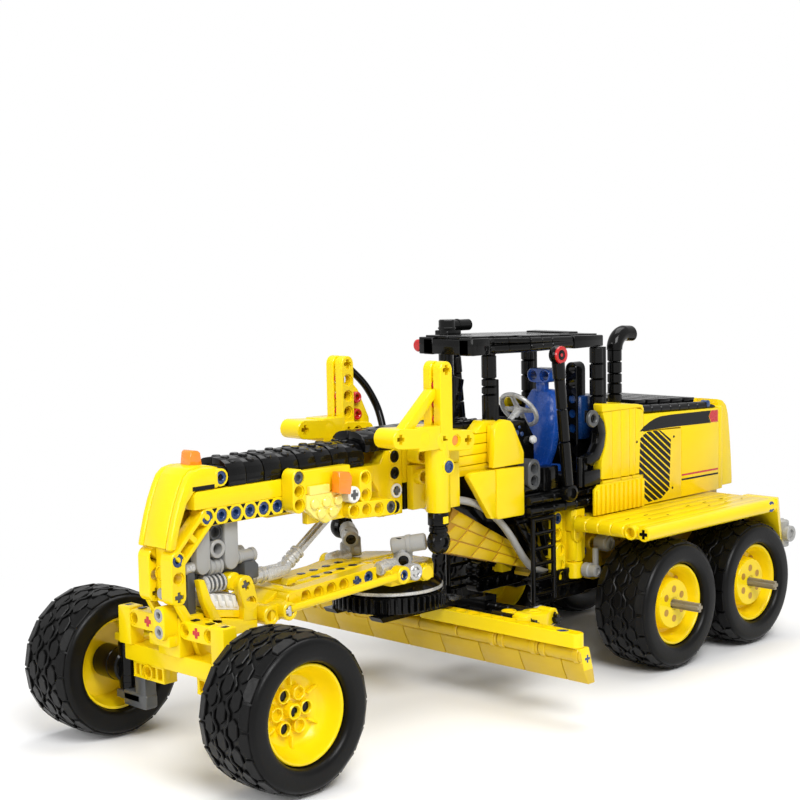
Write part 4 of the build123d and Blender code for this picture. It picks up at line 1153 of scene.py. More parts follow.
for index in range(9):
    start = min(BLADE_Y, BLADE_Y - (index - 0.5) * piece_of_blade)
    end = max(-BLADE_Y, BLADE_Y - (index + 0.5) * piece_of_blade)
    slab(lower, TILE, end + 0.2, start - 0.2, soft=0.45)
# The tiles take the darker yellow as painted shade; the blade's plastic is the same yellow as the rest.
piece("blade_tiles", lower, SHADE_PAINTED_YELLOW, "blade_body")
for side in (-1, 1):
    low, high = sorted((BLADE_Y * side, (BLADE_Y - 3.6) * side))
    slab(blade, [(-145.4, 38), (-148.2, 27), (-155.0, 27), (-152, 38)], low, high, soft=0.6)
    low, high = sorted((56.2 * side, 63.8 * side))
    lump(blade, (-157.8, low, 38.6), (-150, high, 44.6))
piece("blade_courses", blade, YELLOW, "blade_body", hides=("blade",))
blade_pins = bmesh.new()
for y in (92, 12, -12, -92):
    pin(blade_pins, (-147.2, y, 44.9), UPRIGHT)
for side in (-1, 1):
    cross_axle(blade_pins, (-150.6, 100 * side, 32.6), (-150.6, 103.95 * side, 32.6), 2.0, 0.7)
piece("blade_pins", blade_pins, PIN_BLUE, "blade_body")

# %% [markdown]
# Two black rails run along the back of the blade, so that it can shift sideways, with a holed yellow strip
# between them and a pointed yellow bracket near each end.

# %% Blade rails
RAILS_X = (-159, -176)
RAIL_Z = 41
rails = bmesh.new()
for x in RAILS_X:
    cross_axle(rails, (x, -66, RAIL_Z), (x, 66, RAIL_Z), 2.4, 0.95)
    rod(rails, (x, -57, RAIL_Z), (x, 57, RAIL_Z), 2.2, 20, 0.3)
    for y in range(-56, 57, 8):
        ring(rails, (x, y, RAIL_Z), LEFT, 2.5, 2.0, -2.6, 2.6, 20, 0.3)
    for side in (-1, 1):
        for index in range(3):
            start = (38.0 + index * 8.4) * side
            rod(rails, (x, start, RAIL_Z), (x, start + 8.1 * side, RAIL_Z), 3.3, 20, 0.5)
piece("rail_axles", rails, BLACK, "blade_body", hides=("blade_rails",))
strip = bmesh.new()
for side in (-1, 1):
    slab(strip, [(-154.8, 54 * side), (-167.5, 50.5 * side), (-180.2, 54 * side), (-180.2, 61.4 * side),
                 (-167.5, 65.6 * side), (-154.8, 61.4 * side)], 38.3, 45.2, UPRIGHT, 0.8)
    for x in RAILS_X:
        ring(strip, (x, 58 * side, 41.4), LEFT, 4.6, 2.6, -4.2, 4.2, 24, 0.5)
    ring(strip, (-167.5, 58 * side, 45.0), UPRIGHT, 3.4, 2.4, -0.4, 0.6, 20)
    for y in (41 * side, 49 * side):
        holed_beam(strip, (-167.5, y, RAIL_Z), (0, 8 * side, 0), 1, through=(0, 0, 1), thick=4.6)
    low, high = sorted((41 * side, 54 * side))
    lump(strip, (-171.2, low, 38.9), (-163.8, high, 40.4), 0.3)
piece("rail_brackets", strip, YELLOW, "blade_body")

# %% [markdown]
# The drawbar is a flat A of holed beams that hinges behind the front axle and carries the plate of the
# turning ring. One side is made and mirrored, and the plates and blocks between the sides are added after
# that.

# %% Drawbar
RISE = 0.06
BEAM_Z = 65.2
drawbar = bmesh.new()
holed_beam(drawbar, (-48, 12, BEAM_Z), (-8, 0, 8 * RISE), 8, crossed=(5,))
slab(drawbar, [(-103, 23.9), (-103, 8), (-141, 8), (-141, 14), (-132, 23.9)], 63.2, 70.6, UPRIGHT, 0.5)
slab(drawbar, [(-60, 67.4), (-104, 70.2), (-104, 72.4), (-96, 72.6), (-62, 70.2)], 2.2, 7.6, soft=0.6)
ring(drawbar, (-43.4, 15.8, 61.4), LEFT, 4.3, 2.5, -3.8, 3.8, 24, 0.4)
ring(drawbar, (-35.9, 11.6, 60.0), LEFT, 4.6, 2.5, -3.8, 3.8, 24, 0.4)
slab(drawbar, [(-36, 56.2), (-36, 63.6), (-43.4, 65.4), (-48, 69.0), (-52, 69.2), (-52, 61.6),
               (-43.4, 57.4)], 8.1, 14.6, soft=0.6)
rod(drawbar, (-44.2, 18.2, 62.2), (-107.4, 26, 68.4), 1.9)
ring(drawbar, (-108, 25, 68.6), LEFT, 4.3, 2.5, -3.0, 3.0, 24, 0.4)
twin(drawbar)
slab(drawbar, [(-103, 8.2), (-103, -8.2), (-141, -8.2), (-141, 8.2)], 63.6, 70.2, UPRIGHT, 0.4)
for x in (-110, -118, -126):
    ring(drawbar, (x, 0, 70.2), UPRIGHT, 3.4, 2.4, -0.5, 0.7, 20)
lump(drawbar, (-54, -15.8, 63.2), (-46, 15.8, 69.4))
slab(drawbar, [(-36, 57), (-36, 63.4), (-50, 70.4), (-50, 63.2)], -7.7, 7.7, soft=0.5)
rod(drawbar, (-36, -7.7, 60), (-36, 7.7, 60), 4.7, 20, 0.4)
piece("drawbar_beams", drawbar, YELLOW, "drawbar_body", hides=("drawbar",))
bar_pins = bmesh.new()
pin(bar_pins, (-96, 15.9, BEAM_Z + 48 * RISE), LEFT)
pin(bar_pins, (-108, 28.0, 68.6), LEFT)
cross_axle(bar_pins, (-88, 12, BEAM_Z + 40 * RISE), (-88, 17.0, BEAM_Z + 40 * RISE))
twin(bar_pins)
piece("drawbar_pins", bar_pins, PIN_BLUE, "drawbar_body")
hinge_ends = bmesh.new()
cross_axle(hinge_ends, (-43.4, 12.2, 61.4), (-43.4, 19.3, 61.4), 2.3, 0.9)
ring(hinge_ends, (-116.2, 24.8, 68.8), LEFT, 4.1, 2.4, -3.2, 3.2, 24, 0.4)
cross_axle(hinge_ends, (-116.2, 22, 68.8), (-116.2, 27.6, 68.8), 2.3, 0.9)
for x in (-101, -107):
    rod(hinge_ends, (x, 17.4, 71.4), (x - 7, 17.4, 72.0), 3.4, 20, 0.6)
twin(hinge_ends)
piece("drawbar_silver_ends", hinge_ends, SILVER, "drawbar_body")
axle_ends = bmesh.new()
rod(axle_ends, (-124.2, 22.6, 67.4), (-124.2, 27.8, 67.4), 3.9, 24, 0.6)
ring(axle_ends, (-124.2, 24.6, 67.4), LEFT, 4.4, 3.6, -0.8, 0.8)
twin(axle_ends)
piece("drawbar_yellow_ends", axle_ends, YELLOW, "drawbar_body")

# %% [markdown]
# Grey angle pieces tie the back of the drawbar to the lift rods. Each is two barrels set across one
# another, with a deep hole in every end, so it is rods and rings at an angle, with black discs sunk in the
# ends as painted shade of the holes.

# %% Angle links
links = bmesh.new()
link_holes = bmesh.new()
upper_way = (Vector((-123.6, 27.8, 82.8)) - Vector((-113.2, 14.2, 80.2))).normalized()
rod(links, (-113.2, 14.2, 80.2), (-123.4, 27.4, 82.8), 4.1, 24, 0.7)
rod(links, (-113.4, 22.0, 74.2), (-120.6, 14.8, 75.0), 3.9, 24, 0.7)
slab(links, [(-113.0, 72.4), (-121.2, 72.4), (-121.2, 81.4), (-113.0, 80.4)], 14.6, 21.4, soft=1.6)
ring(links, (-118.4, 20.8, 81.5), along(upper_way), 4.5, 3.8, -1.4, 1.4, 24, 0.5)
SHADE_DISC = [(0, 0.12), (2.2, 0.12), (2.5, 0.05), (2.5, -0.4)]
turned(link_holes, SHADE_DISC, (-113.2, 14.2, 80.2), along(-upper_way), 18)
turned(link_holes, SHADE_DISC, (-113.4, 22.0, 74.2), along((1, 1, -0.11)), 18)
turned(link_holes, [(0, 0.12), (2.0, 0.12), (2.2, 0.05), (2.2, -0.4)], (-115.6, 17.8, 84.4), UPRIGHT, 18)
twin(links)
# Black discs on the drawbar's top are painted shade of its holes.
for x in (-72, -80, -88, -96):
    turned(link_holes, [(0, 0.15), (2.0, 0.15), (2.3, 0.05), (2.3, -0.4)],
           (x, 5.0, 70.2 + (-62 - x) * 0.07), UPRIGHT, 16)
twin(link_holes)
piece("angle_links", links, GREY, "drawbar_body", hides=("lift_links",))
piece("link_holes", link_holes, BLACK, "drawbar_body")

# %% [markdown]
# The plate over the turning ring is black, and only its lip shows bright above the teeth. Plate and lip
# are spun.

# %% Plate of the turning ring
RING_CENTRE = (-125, 0, 0)
plate = bmesh.new()
turned(plate, [(0, 62.6), (22, 62.6), (23.4, 61.8), (26.2, 59.2), (26.2, 57.4), (25.6, 56.6), (0, 56.6)],
       RING_CENTRE, UPRIGHT, 64)
piece("ring_cover", plate, BLACK, "drawbar_body", hides=("ring_plate",))
lip = bmesh.new()
ring(lip, RING_CENTRE, UPRIGHT, 26.7, 25.2, 57.2, 58.8, 72, 0.2)
piece("ring_lip", lip, SILVER, "drawbar_body")

# %% [markdown]
# The turning ring has a fine row of teeth round it. One tooth is made and carried round with spin, so
# that all are the same and evenly spaced.

# %% Teeth of the turning ring
teeth = bmesh.new()
ring(teeth, (0, 0, 0), UPRIGHT, 26.1, 19.6, 48.15, 56.3, 64, 0.3)
tooth = bmesh.new()
slab(tooth, [(25.8, -1.05), (28.2, -0.6), (28.2, 0.6), (25.8, 1.05)], 48.6, 55.8, UPRIGHT, 0.2)
round_axis(teeth, tooth, 48)
bmesh.ops.translate(teeth, vec=RING_CENTRE, verts=teeth.verts)
piece("ring_teeth", teeth, BLACK, "circle", hides=("circle_ring",))

# %% [markdown]
# Behind the towers the neck meets the cab in a stack of beams, one plate on another, so that thin dark
# lines run round it. Cowl panels with rounded corners stand on each side of it. Layers are made one by
# one with a small gap, because the gaps are what shows.

# %% Stack and cowl panels
stack = bmesh.new()
for index in range(4):
    low = 109.3 + index * 5.1
    lump(stack, (-190, -19.8, low), (-150.4 + 0.25 * index, 19.8, low + 4.8), 0.45)
lump(stack, (-151, -11.8, 109.4), (-124.2, 11.8, 126.4))
for low, high in ((12.2, 19.8), (-19.8, -12.2)):
    slab(stack, [(-168.6, 129.6), (-168.6, 130.6), (-174.8, 135.6), (-183.4, 135.2), (-183.4, 129.6)],
         low, high, soft=0.5)
piece("stack_layers", stack, YELLOW, hides=("neck_stack",))

TUBE_HEIGHT = 132.4
stack_tubes = bmesh.new()
for y in (3.6, 9.2):
    rod(stack_tubes, (-150.6, y, TUBE_HEIGHT), (-186, y, TUBE_HEIGHT), 2.7, 16, 0.4)
    for x in (-153, -161, -169, -177):
        ring(stack_tubes, (x, y, TUBE_HEIGHT), FRONT, 3.1, 2.5, -1.2, 1.2, 16)
twin(stack_tubes)
piece("stack_tubes", stack_tubes, BLACK)

COWL = (24.1, 27.8)
cowl = bmesh.new()
slab(cowl, [(-172.1, 112.4), (-174.1, 132.3), (-176.6, 135.2), (-180.4, 136.3), (-185.4, 135.4),
            (-187.6, 133.6), (-195.8, 118.6), (-195.8, 112.4)], *COWL, soft=0.7)
slab(cowl, [(-154.1, 109.6), (-155.4, 111.4), (-158.0, 111.9), (-174.0, 111.7), (-174.0, 88.4),
            (-172.6, 86.8), (-170.2, 87.2), (-165.6, 93.6)], *COWL, soft=0.7)
slab(cowl, [(-174.5, 111.7), (-195.8, 111.0), (-195.8, 86.3), (-194.6, 85.9), (-175.6, 86.1),
            (-174.5, 87.2)], *COWL, soft=0.7)
lump(cowl, (-186, 20.1, 114.4), (-176, 24.6, 133.4), 0.3)
lump(cowl, (-190, 12.1, 98.2), (-178, 24.6, 105.8), 0.3)
twin(cowl)
piece("cowl_sides", cowl, YELLOW, hides=("cowl_panels",))

# %% [markdown]
# The slope beside the frame is shingled: short four-sided tiles in rows, each row half a tile on from the
# one above. The tiles are in a darker yellow as painted shade, and a backing in a still darker yellow
# shows in the joints as painted shade. Tiles are laid out along two lines, from
# the top edge to the bottom edge, so that they widen as the slope does.

# %% Sloping tiles
TOP_LINE = (Vector((-155.6, 93.6)), Vector((-200.6, 69.6)))
LOW_LINE = (Vector((-146.2, 72.4)), Vector((-211.6, 54.2)))


def slope_point(run, drop):
    """A point of the slope, from 0 to 1 along it and from 0 to 1 down it."""
    return TOP_LINE[0].lerp(TOP_LINE[1], run).lerp(LOW_LINE[0].lerp(LOW_LINE[1], run), drop)


tiles = bmesh.new()
backing = bmesh.new()
for side, first in ((1, 0.0), (-1, 0.5)):
    low, high = sorted((12.6 * side, 15.2 * side))
    outline = [slope_point(first, 0), slope_point(1, 0), slope_point(1, 1), slope_point(first, 1)]
    slab(backing, outline, low, high, soft=0.2)
    for row in range(3):
        for column in range(-1, 4):
            start = (column + 0.5 * (row % 2)) / 4 + 0.04 * row
            left, right = max(first, start + 0.01), min(1.0, start + 0.24)
            if right - left < 0.05:
                continue
            top, foot = row / 3 + 0.018, (row + 1) / 3 - 0.018
            lean = 0.09
            corners = [
                slope_point(min(1, left + lean), top), slope_point(min(1, right + lean), top),
                slope_point(right, foot), slope_point(left, foot),
            ]
            lift = 15.6 + 0.15 * ((row + column) % 3)
            low, high = sorted((14.4 * side, lift * side))
            slab(tiles, corners, low, high, soft=0.3)
# Painted shade: the tiles and the backing in the joints are darker yellows standing for shade.
piece("slope_tiles", tiles, SHADE_PAINTED_YELLOW, hides=("slope_plates",))
piece("slope_backing", backing, SHADED_YELLOW)

# %% [markdown]
# The frame's core carries the stack. It is one black outline pushed through across the toy, with two
# slanted struts on each side and a block across their heads. The saddles beside the stack are holed beams
# and blocks with pins. One saddle is made and mirrored, and the right one then gets the block that holds
# the black hose.

# %% Frame core and saddles
core = bmesh.new()
slab(core, [(-124.4, 96.2), (-124.4, 108.9), (-206, 108.9), (-206, 83.9), (-232, 83.9), (-232, 46.2),
            (-214, 56.2), (-167, 70.2), (-165, 88), (-152, 96.2)], -11.8, 11.8, soft=0.6)
for strut in (
    [(-196, 83.6), (-202, 83.6), (-228, 50), (-222, 50)],
    [(-216, 83.6), (-222, 83.6), (-232, 47), (-226, 47)],
):
    for low, high in ((16.8, 20.6), (-20.6, -16.8)):
        slab(core, strut, low, high, soft=0.5)
lump(core, (-224, -20.6, 79.2), (-198, 20.6, 83.8))
piece("core_blocks", core, BLACK, hides=("frame_core",))
saddles = bmesh.new()
holed_beam(saddles, (-130, 16.2, 122.4), (-8, 0, 0), 3)
lump(saddles, (-149.8, 12.2, 96.2), (-126.2, 16.4, 118), 0.6)
holed_beam(saddles, (-130.4, 18.2, 112.4), (-8, 0, 0), 3, thick=4.4)
holed_beam(saddles, (-138.4, 18.2, 101.2), (-8, 0, 0), 2, thick=4.4)
lump(saddles, (-149.8, 16.2, 96.2), (-139.4, 25.8, 118), 0.6)
lump(saddles, (-149.8, 20.2, 118.2), (-133.4, 25.8, 126.3), 0.6)
twin(saddles)
lump(saddles, (-150, -25.8, 118.2), (-144, -20.4, 131), 0.6)
piece("saddle_blocks", saddles, YELLOW, hides=("lift_saddles",))
saddle_pins = bmesh.new()
for z in (112.4, 101.2):
    pin(saddle_pins, (-138.4, 20.4, z), LEFT)
twin(saddle_pins)
piece("saddle_pins", saddle_pins, PIN_BLUE)

# %% [markdown]
# The cab is an open frame of black tubes. Its posts are stacked round tubes with a thin gap at every
# joint, and a stay with ball ends leans on each side. Lathe profiles give the tubes their soft ends, so
# the light breaks at each joint.

# %% Cab posts and stays
def tube_stack(bm, place, heights, radius):
    """Upright tubes one on the other, with a groove at each joint."""
    for low, high in zip(heights, heights[1:]):
        turned(bm, [(0, low + 0.1), (radius - 0.7, low + 0.1), (radius, low + 0.6), (radius, high - 0.6),
                    (radius - 0.7, high - 0.1), (0, high - 0.1)], (*place, 0), UPRIGHT)


posts = bmesh.new()
tube_stack(posts, (-184.1, 14.9), (130.2, 148, 152, 156, 168), 3.85)
lump(posts, (-187.6, 11.2, 130.2), (-184.6, 18.6, 155.6))
tube_stack(posts, (-260, 24.1), (96.2, 105, 114, 123, 132, 141.8, 150.8, 159, 168), 3.85)
lump(posts, (-263.8, 20.4, 96.2), (-260.6, 27.8, 168), 0.4)
for low, high, radius in ((99, 121.8, 2.9), (122.2, 138.7, 2.9), (139.1, 154.6, 2.9), (154.6, 163.4, 3.4)):
    lean = [(-213 - (167 - z) / 9, 36, z) for z in (low, high)]
    rod(posts, *lean, radius, 20, 0.4)
BALL = [(0, -3.2), (2.6, -3.2), (4.2, -2.4), (4.7, -0.8)]
turned(posts, BALL + [(4.7, 0.8), (4.2, 2.2), (3.2, 2.8), (0, 2.8)], (-213, 36, 167), LEFT)
turned(posts, BALL + [(4.7, 1.4), (4.2, 2.8), (2.7, 3.2), (2.5, 1.6), (0, 1.5)], (-221, 36, 95), LEFT)
twin(posts)
piece("cab_tubes", posts, BLACK, hides=("cab_posts",))
caps = bmesh.new()
turned(caps, [(4.3, 1.6), (4.6, 2.2), (4.4, 3.0), (3.2, 3.2), (2.4, 2.6), (1.6, 2.5), (0, 3.2)],
       (-213, 36, 167), LEFT)
twin(caps)
piece("stay_red_caps", caps, RED)

# %% [markdown]
# The roof is a frame too. Two rows of thin tubes run along each side of it, thin plates lie on top, and
# the corners are square blocks. The plan widens behind the front posts, so every rail follows the same
# three corners.

# %% Roof
roof = bmesh.new()
slab(roof, [(-168.2, 15.6), (-184, 15.6), (-205, 22.4), (-263.8, 22.4), (-263.8, 12), (-168.2, 9)],
     168.3, 176.4, UPRIGHT, 0.4)
rail = [(-181.4, 17.0), (-184.6, 17.0), (-193, 19.9), (-205, 23.9), (-214, 23.9), (-222, 23.9),
        (-238.6, 23.9)]
for start, end in zip(rail, rail[1:]):
    rod(roof, (*start, 171.0), (*end, 171.0), 2.1, 20, 0.35)
    rod(roof, (*start, 175.4), (*end, 175.4), 1.6)
lump(roof, (-263.8, 12, 168.2), (-239.4, 25.9, 177.2), 0.6)
slab(roof, [(-168.2, 177), (-168.2, 168.4), (-181, 168.4), (-181, 177)], 9, 18.8, soft=0.5)
lump(roof, (-178.4, 18.6, 170.6), (-171, 18.95, 175), 0.12)
turned(roof, [(4.0, -2), (4.2, 0.4), (3.6, 1.0), (2.6, 1.0), (2.3, 0.2), (0, 0.1)], (-184.4, 16.6, 171.4),
       LEFT)
for index in range(6):
    start = -170.4 - index * 15.5
    wide = 16 if index == 0 else 18 if index == 1 else 22
    slab(roof, [(start, 0.1), (start, wide), (start - 15.2, wide), (start - 15.2, 0.1)],
         176.2, 177.9, UPRIGHT, 0.25)
twin(roof)
for vert in roof.verts:
    if vert.co.z > 173.2:
        vert.co.z -= 0.034 * max(0.0, -175 - vert.co.x)
for x in (-172.2, -192, -222, -252):
    lump(roof, (x - 3.9, -15, 168.6), (x + 3.9, 15, 176.2))
piece("roof_frame", roof, BLACK, hides=("cab_roof",))
light = bmesh.new()
rod(light, (-189.6, -19, 176.6), (-189.6, -19, 184.9), 4.4, 24, 0.6)
ring(light, (-189.6, -19, 180.4), UPRIGHT, 4.8, 4.2, -0.5, 0.5, 24, 0.2)
lump(light, (-195.6, -23.8, 176.6), (-185.3, -14.4, 179.4))
rod(light, (-192, -19, 181.6), (-206.6, -19, 181.4), 3.0, 20, 0.6)
ring(light, (-196.4, -19, 181.6), BACK, 3.3, 2.4, 0, 1.6, 20)
piece("roof_light_holder", light, BLACK, hides=("roof_lamp",))
front_light = bmesh.new()
rod(front_light, (-181, -20.8, 171.6), (-171.8, -20.8, 172.4), 2.9, 20, 0.4)
ring(front_light, (-175.6, -20.8, 172.1), FRONT, 3.3, 2.6, -1.0, 1.0, 20)
slab(front_light, [(-184.4, 157), (-195.6, 153.4), (-190.4, 133), (-184.4, 130.6)], -18.4, -12.6, soft=0.6)
piece("front_light_tube", front_light, BLACK)
red_lamp = bmesh.new()
turned(red_lamp, [(0, 3.4), (2.4, 3.2), (3.2, 2.4), (3.3, 0.4), (2.6, 0.0)], (-171.9, -20.8, 172.4),
       FRONT, 20)
piece("roof_red_lamp", red_lamp, RED)

# %% [markdown]
# The seat's back is a thin rounded panel that leans back, with a two-hole block as its headrest. It is an
# outline of a seat back pushed through and sheared, because only its slope differs from an upright panel.

# %% Seat
seat = bmesh.new()
slab(seat, [(-222.2, 97), (-222.6, 104), (-225, 105.4), (-240, 104.4), (-246, 105.4), (-246, 96.2),
            (-223, 96.2)], -10.8, 10.8, soft=1.0)
shear = Matrix(((1, 0, -0.11, 11.6), (0, 1, 0, 0), (0, 0, 1, 0), (0, 0, 0, 1)))
back = [(-6.2, 103), (6.2, 103), (9.4, 112), (11.0, 122), (11.2, 132), (9.8, 140), (6.6, 145.4),
        (-6.6, 145.4), (-9.8, 140), (-11.2, 132), (-11.0, 122), (-9.4, 112)]
slab(seat, back, -243.4, -237.6, shear @ ACROSS_X, 1.4)
lump(seat, (-245.8, -3, 144), (-241.4, 3, 149.4), 0.6)
holed_beam(seat, (-244, -4, 152.9), (0, 8, 0), 2, (1, 0, 0))
piece("cab_seat", seat, BLUE, hides=("seat",))
behind = bmesh.new()
holed_beam(behind, (-257, 12, 155.8), (0, 0, -8), 7, (1, 0, 0))
slab(behind, [(-266.3, -29.4), (-266.3, 29.4), (-265, 29.4), (-265, -29.4)], 96.2, 133, UPRIGHT, 0)
for near, far in ((29.2, 29.9), (-29.2, -29.9)):
    slab(behind, [(-250.4, near), (-264.9, near), (-264.9, far), (-250.4, far)], 96.2, 134, UPRIGHT, 0)
piece("cab_back_lining", behind, BLACK)
# Painted shade: a darker blue box behind the seat stands for the seat's side in shadow.
shelf = bmesh.new()
lump(shelf, (-264.8, -18, 118), (-254.4, 18, 141.6), 1.0)
piece("seat_back_box", shelf, PIN_BLUE)

# %% [markdown]
# The floor is a pack of black connectors and tubes, and the console stands on it. The steering wheel is a
# thin ring on four spokes, spun round a leaning axis.

# %% Floor, console and steering wheel
floor_parts = bmesh.new()
lump(floor_parts, (-265.6, -27, 84.3), (-196.2, 27, 95.8), 0.4)
tubes = bmesh.new()
for z in (87, 92.8):
    for index in range(6):
        start = -196.6 - index * 9.2
        rod(tubes, (start, 29.2, z), (start - 8.9, 29.2, z), 2.6, 18, 0.5)
lump(tubes, (-265.6, 26.8, 84.4), (-252, 31.8, 95.6))
lump(tubes, (-223, 19.4, 96), (-211, 27.8, 108.4), 0.6)
for index in range(2):
    rod(tubes, (-197 - index * 9, 25, 98.4), (-205.6 - index * 9, 25, 98.4), 2.4, 18, 0.4)
lump(tubes, (-221.6, 27.7, 100), (-213.6, 28.1, 107), 0.1)
holed_beam(tubes, (-229, 24, 99.8), (-8, 0, 0), 3)
twin(tubes)
absorb(floor_parts, tubes)
slab(floor_parts, [(-199, 96), (-226, 96), (-226, 119.5), (-219, 131.4), (-203, 131.4), (-196.6, 124)],
     -8.9, 8.9, soft=0.7)
slab(floor_parts, [(-217.4, 130.6), (-218.6, 132.4), (-227.4, 119.8), (-226, 118.6)], -8.9, 8.9, soft=0.3)
piece("cab_floor_parts", floor_parts, BLACK, hides=("cab_floor",))
grey_parts = bmesh.new()
holed_beam(grey_parts, (-203.6, 24, 109), (0, 0, -6.4), 2, width=9.6)
twin(grey_parts)
piece("floor_grey_parts", grey_parts, DARK_GREY)
bits = bmesh.new()
for y in (25, -25):
    rod(bits, (-215.4, y, 98.4), (-221, y, 98.4), 2.35, 18, 0.4)
piece("floor_red_bits", bits, RED)
gauges = bmesh.new()
for x, z, radius in ((-212, 125.2, 1.6), (-216, 124.2, 1.3), (-209, 127.4, 1.1), (-214, 128, 0.9)):
    turned(gauges, [(0, 0.35), (radius - 0.3, 0.35), (radius, 0.1), (radius, -0.2)], (x, 8.9, z), LEFT, 16)
piece("console_gauges", gauges, PIN_BLUE)
knob = bmesh.new()
turned(knob, [(0, 3.0), (1.6, 2.7), (2.3, 1.6), (2.1, 0.4), (1.2, 0), (1.2, -1)], (-223.4, 8.9, 120.6),
       LEFT, 20)
piece("console_knob", knob, WHITE)
wheel = bmesh.new()
lean = along((-0.8, 0, 0.6))
HUB = (-224.2, 0, 135.8)
turned(wheel, [(10.8 + 1.3 * math.cos(a * math.pi / 4),
                1.2 * math.sin(a * math.pi / 4)) for a in range(9)], HUB, lean, 40)
part = bmesh.new()
slab(part, [(0, -1.8), (10.2, -1.1), (10.2, 1.1), (0, 1.8)], -0.6, 0.6, UPRIGHT, 0.3)
spokes = bmesh.new()
round_axis(spokes, part, 4)
absorb(wheel, spokes, Matrix.Translation(HUB) @ lean)
turned(wheel, [(0, 1.0), (2.2, 1.0), (2.8, 0.5), (2.8, -1.2), (2.2, -1.8), (2.0, -9), (0, -9)],
       HUB, lean, 20)
piece("steering_ring", wheel, SILVER, hides=("steering_wheel",))

# %% [markdown]
# A black arch with a grey ring at its head stands on each side between the seat and the louvres. It is as
# thick at its ends as in its middle, so it is one outline pushed through, and the ring is turned.

# %% Side arches
arches = bmesh.new()
slab(arches, [(-241, 136), (-247, 133.6), (-251.6, 129), (-252.9, 123), (-251.6, 116), (-247.6, 109.6),
              (-241, 106.6), (-236.6, 108.6), (-237.4, 112), (-243, 113.6), (-246.2, 118), (-247.2, 123),
              (-246, 127.6), (-241, 129.4)], 30.6, 35.8, soft=0.5)
lump(arches, (-248.2, 30.6, 96.2), (-234.6, 35.8, 104.4), 0.6)
lump(arches, (-239.4, 31, 104), (-236.4, 34, 109.4), 0.4)
rod(arches, (-233, 33.6, 96.2), (-233, 33.6, 112), 1.6)
twin(arches)
piece("side_arches", arches, BLACK)
rings = bmesh.new()
ring(rings, (-240.6, 35.6, 131.8), LEFT, 4.5, 2.3, -0.2, 1.9, 28, 0.4)
twin(rings)
piece("arch_grey_rings", rings, DARK_GREY)

# %% [markdown]
# The walkways over the rear wheels are plates side by side with a round tube along the outer edge. A
# second tube runs across their front end, and a bracket bends down behind the last wheel and tapers
# inwards.

# %% Walkways
decks = bmesh.new()
for index in range(5):
    y = 30.4 + index * 8.4
    lump(decks, (-349.8, y, 72.4), (-234.8, y + 8.1, 79.9 if index else 79.7), 0.4)
turned(decks, [(0, 0.4), (3.4, 0.4), (3.75, 0.1), (3.75, -118.2), (3.4, -118.6), (0, -118.6)],
       (-231.6, 76.1, 76.1), FRONT, 32)
lump(decks, (-349.8, 72, 74), (-234.8, 76, 79.9), 0.4)
for index in range(4):
    rod(decks, (-234.9, 30.4 + index * 8.2, 76.1), (-234.9, 38.4 + index * 8.2, 76.1), 3.75, 24, 0.5)
ring(decks, (-231.6, 67.6, 76.1), FRONT, 3.75, 2.5, -8, 0.5)
part = bmesh.new()
bracket = [(-350.4, 72.4), (-350.4, 79.9), (-356.4, 79.9), (-362, 73), (-377.6, 51), (-377.6, 48.2),
           (-372, 48.2)]
slab(part, bracket, 56.4, 79.8, soft=0)
for vert in part.verts:
    if vert.co.y > 70:
        vert.co.y -= max(0, -350.4 - vert.co.x) * 0.5
soften(part, 0.6)
absorb(decks, part)
for index in range(3):
    rod(decks, (-346.4 - index * 5.4, 42, 69.6 - index * 2.4),
        (-346.4 - index * 5.4, 56, 69.6 - index * 2.4), 2.6)
twin(decks)
piece("walkways", decks, YELLOW, hides=("decks",))
dark = bmesh.new()
# Painted shade: a flat black cross on the tube's end stands for the dark inside of a cross hole.
cross_axle(dark, (-233, 76.1, 76.1), (-231.1, 76.1, 76.1), 2.5, 0.9)
for x in (-246, -262, -300, -316, -332):
    lump(dark, (x - 1.6, 54.4, 79.86), (x + 1.6, 55.1, 79.97), 0)
    lump(dark, (x - 9, 62.8, 79.86), (x - 7, 63.4, 79.97), 0)
twin(dark)
piece("walkway_holes", dark, BLACK)
deck_pins = bmesh.new()
pin(deck_pins, (-345, 79.9, 76.1), LEFT)
pin(deck_pins, (-350.3, 76.1, 76.1), BACK)
twin(deck_pins)
piece("walkway_pins", deck_pins, PIN_BLUE)

# %% [markdown]
# Between the ladder and the rear wheels stand two yellow columns on each side: a two-hole beam on a round
# tube, and a taller tube with a flat cap. They are stacks of short turned tubes with beams and blocks
# behind them.

# %% Columns
columns = bmesh.new()
holed_beam(columns, (-236.4, 29.0, 77.6), (0, 0, -8), 2, thick=2.6, width=7.4)
holed_beam(columns, (-227.2, 24.4, 62.4), (0, 0, -8), 2, thick=2.0, width=7.6)
holed_beam(columns, (-227.2, 19.8, 79.4), (0, 0, -8), 2)
tube_stack(columns, (-227.2, 19.8), (46.2, 49.4, 58, 66.6), 4.7)
lump(columns, (-231, 12.4, 46.4), (-223.4, 18, 83.6))
tube_stack(columns, (-238.6, 24.6), (46.2, 55.4, 71.8), 5.2)
lump(columns, (-243.8, 12.4, 46.4), (-233.4, 24, 83.7))
lump(columns, (-243.9, 23.6, 56), (-233.3, 29.2, 71.9), 1.6)
slab(columns, [(-233, 23.6), (-233, 28), (-235, 29.8), (-242, 29.8), (-244, 28), (-244, 23.6)],
     72, 83.8, UPRIGHT, 0.5)
twin(columns)
piece("yellow_columns", columns, YELLOW, hides=("rear_columns",))
column_pins = bmesh.new()
pin(column_pins, (-241.4, 29.7, 77.8), LEFT)
pin(column_pins, (-227.2, 23.9, 79.4), LEFT)
pin(column_pins, (-241.6, 29.2, 60.4), LEFT)
twin(column_pins)
piece("column_pins", column_pins, PIN_BLUE)

# %% [markdown]
# The frame between the rear wheels is a box with holed beams along its sides, in a deeper yellow because
# it lies in shade. Black cases of holed beams join the two wheels of each side, and black belly beams run
# below. Plain boxes would be quicker to make, but the rows of holes show from the side and from behind.

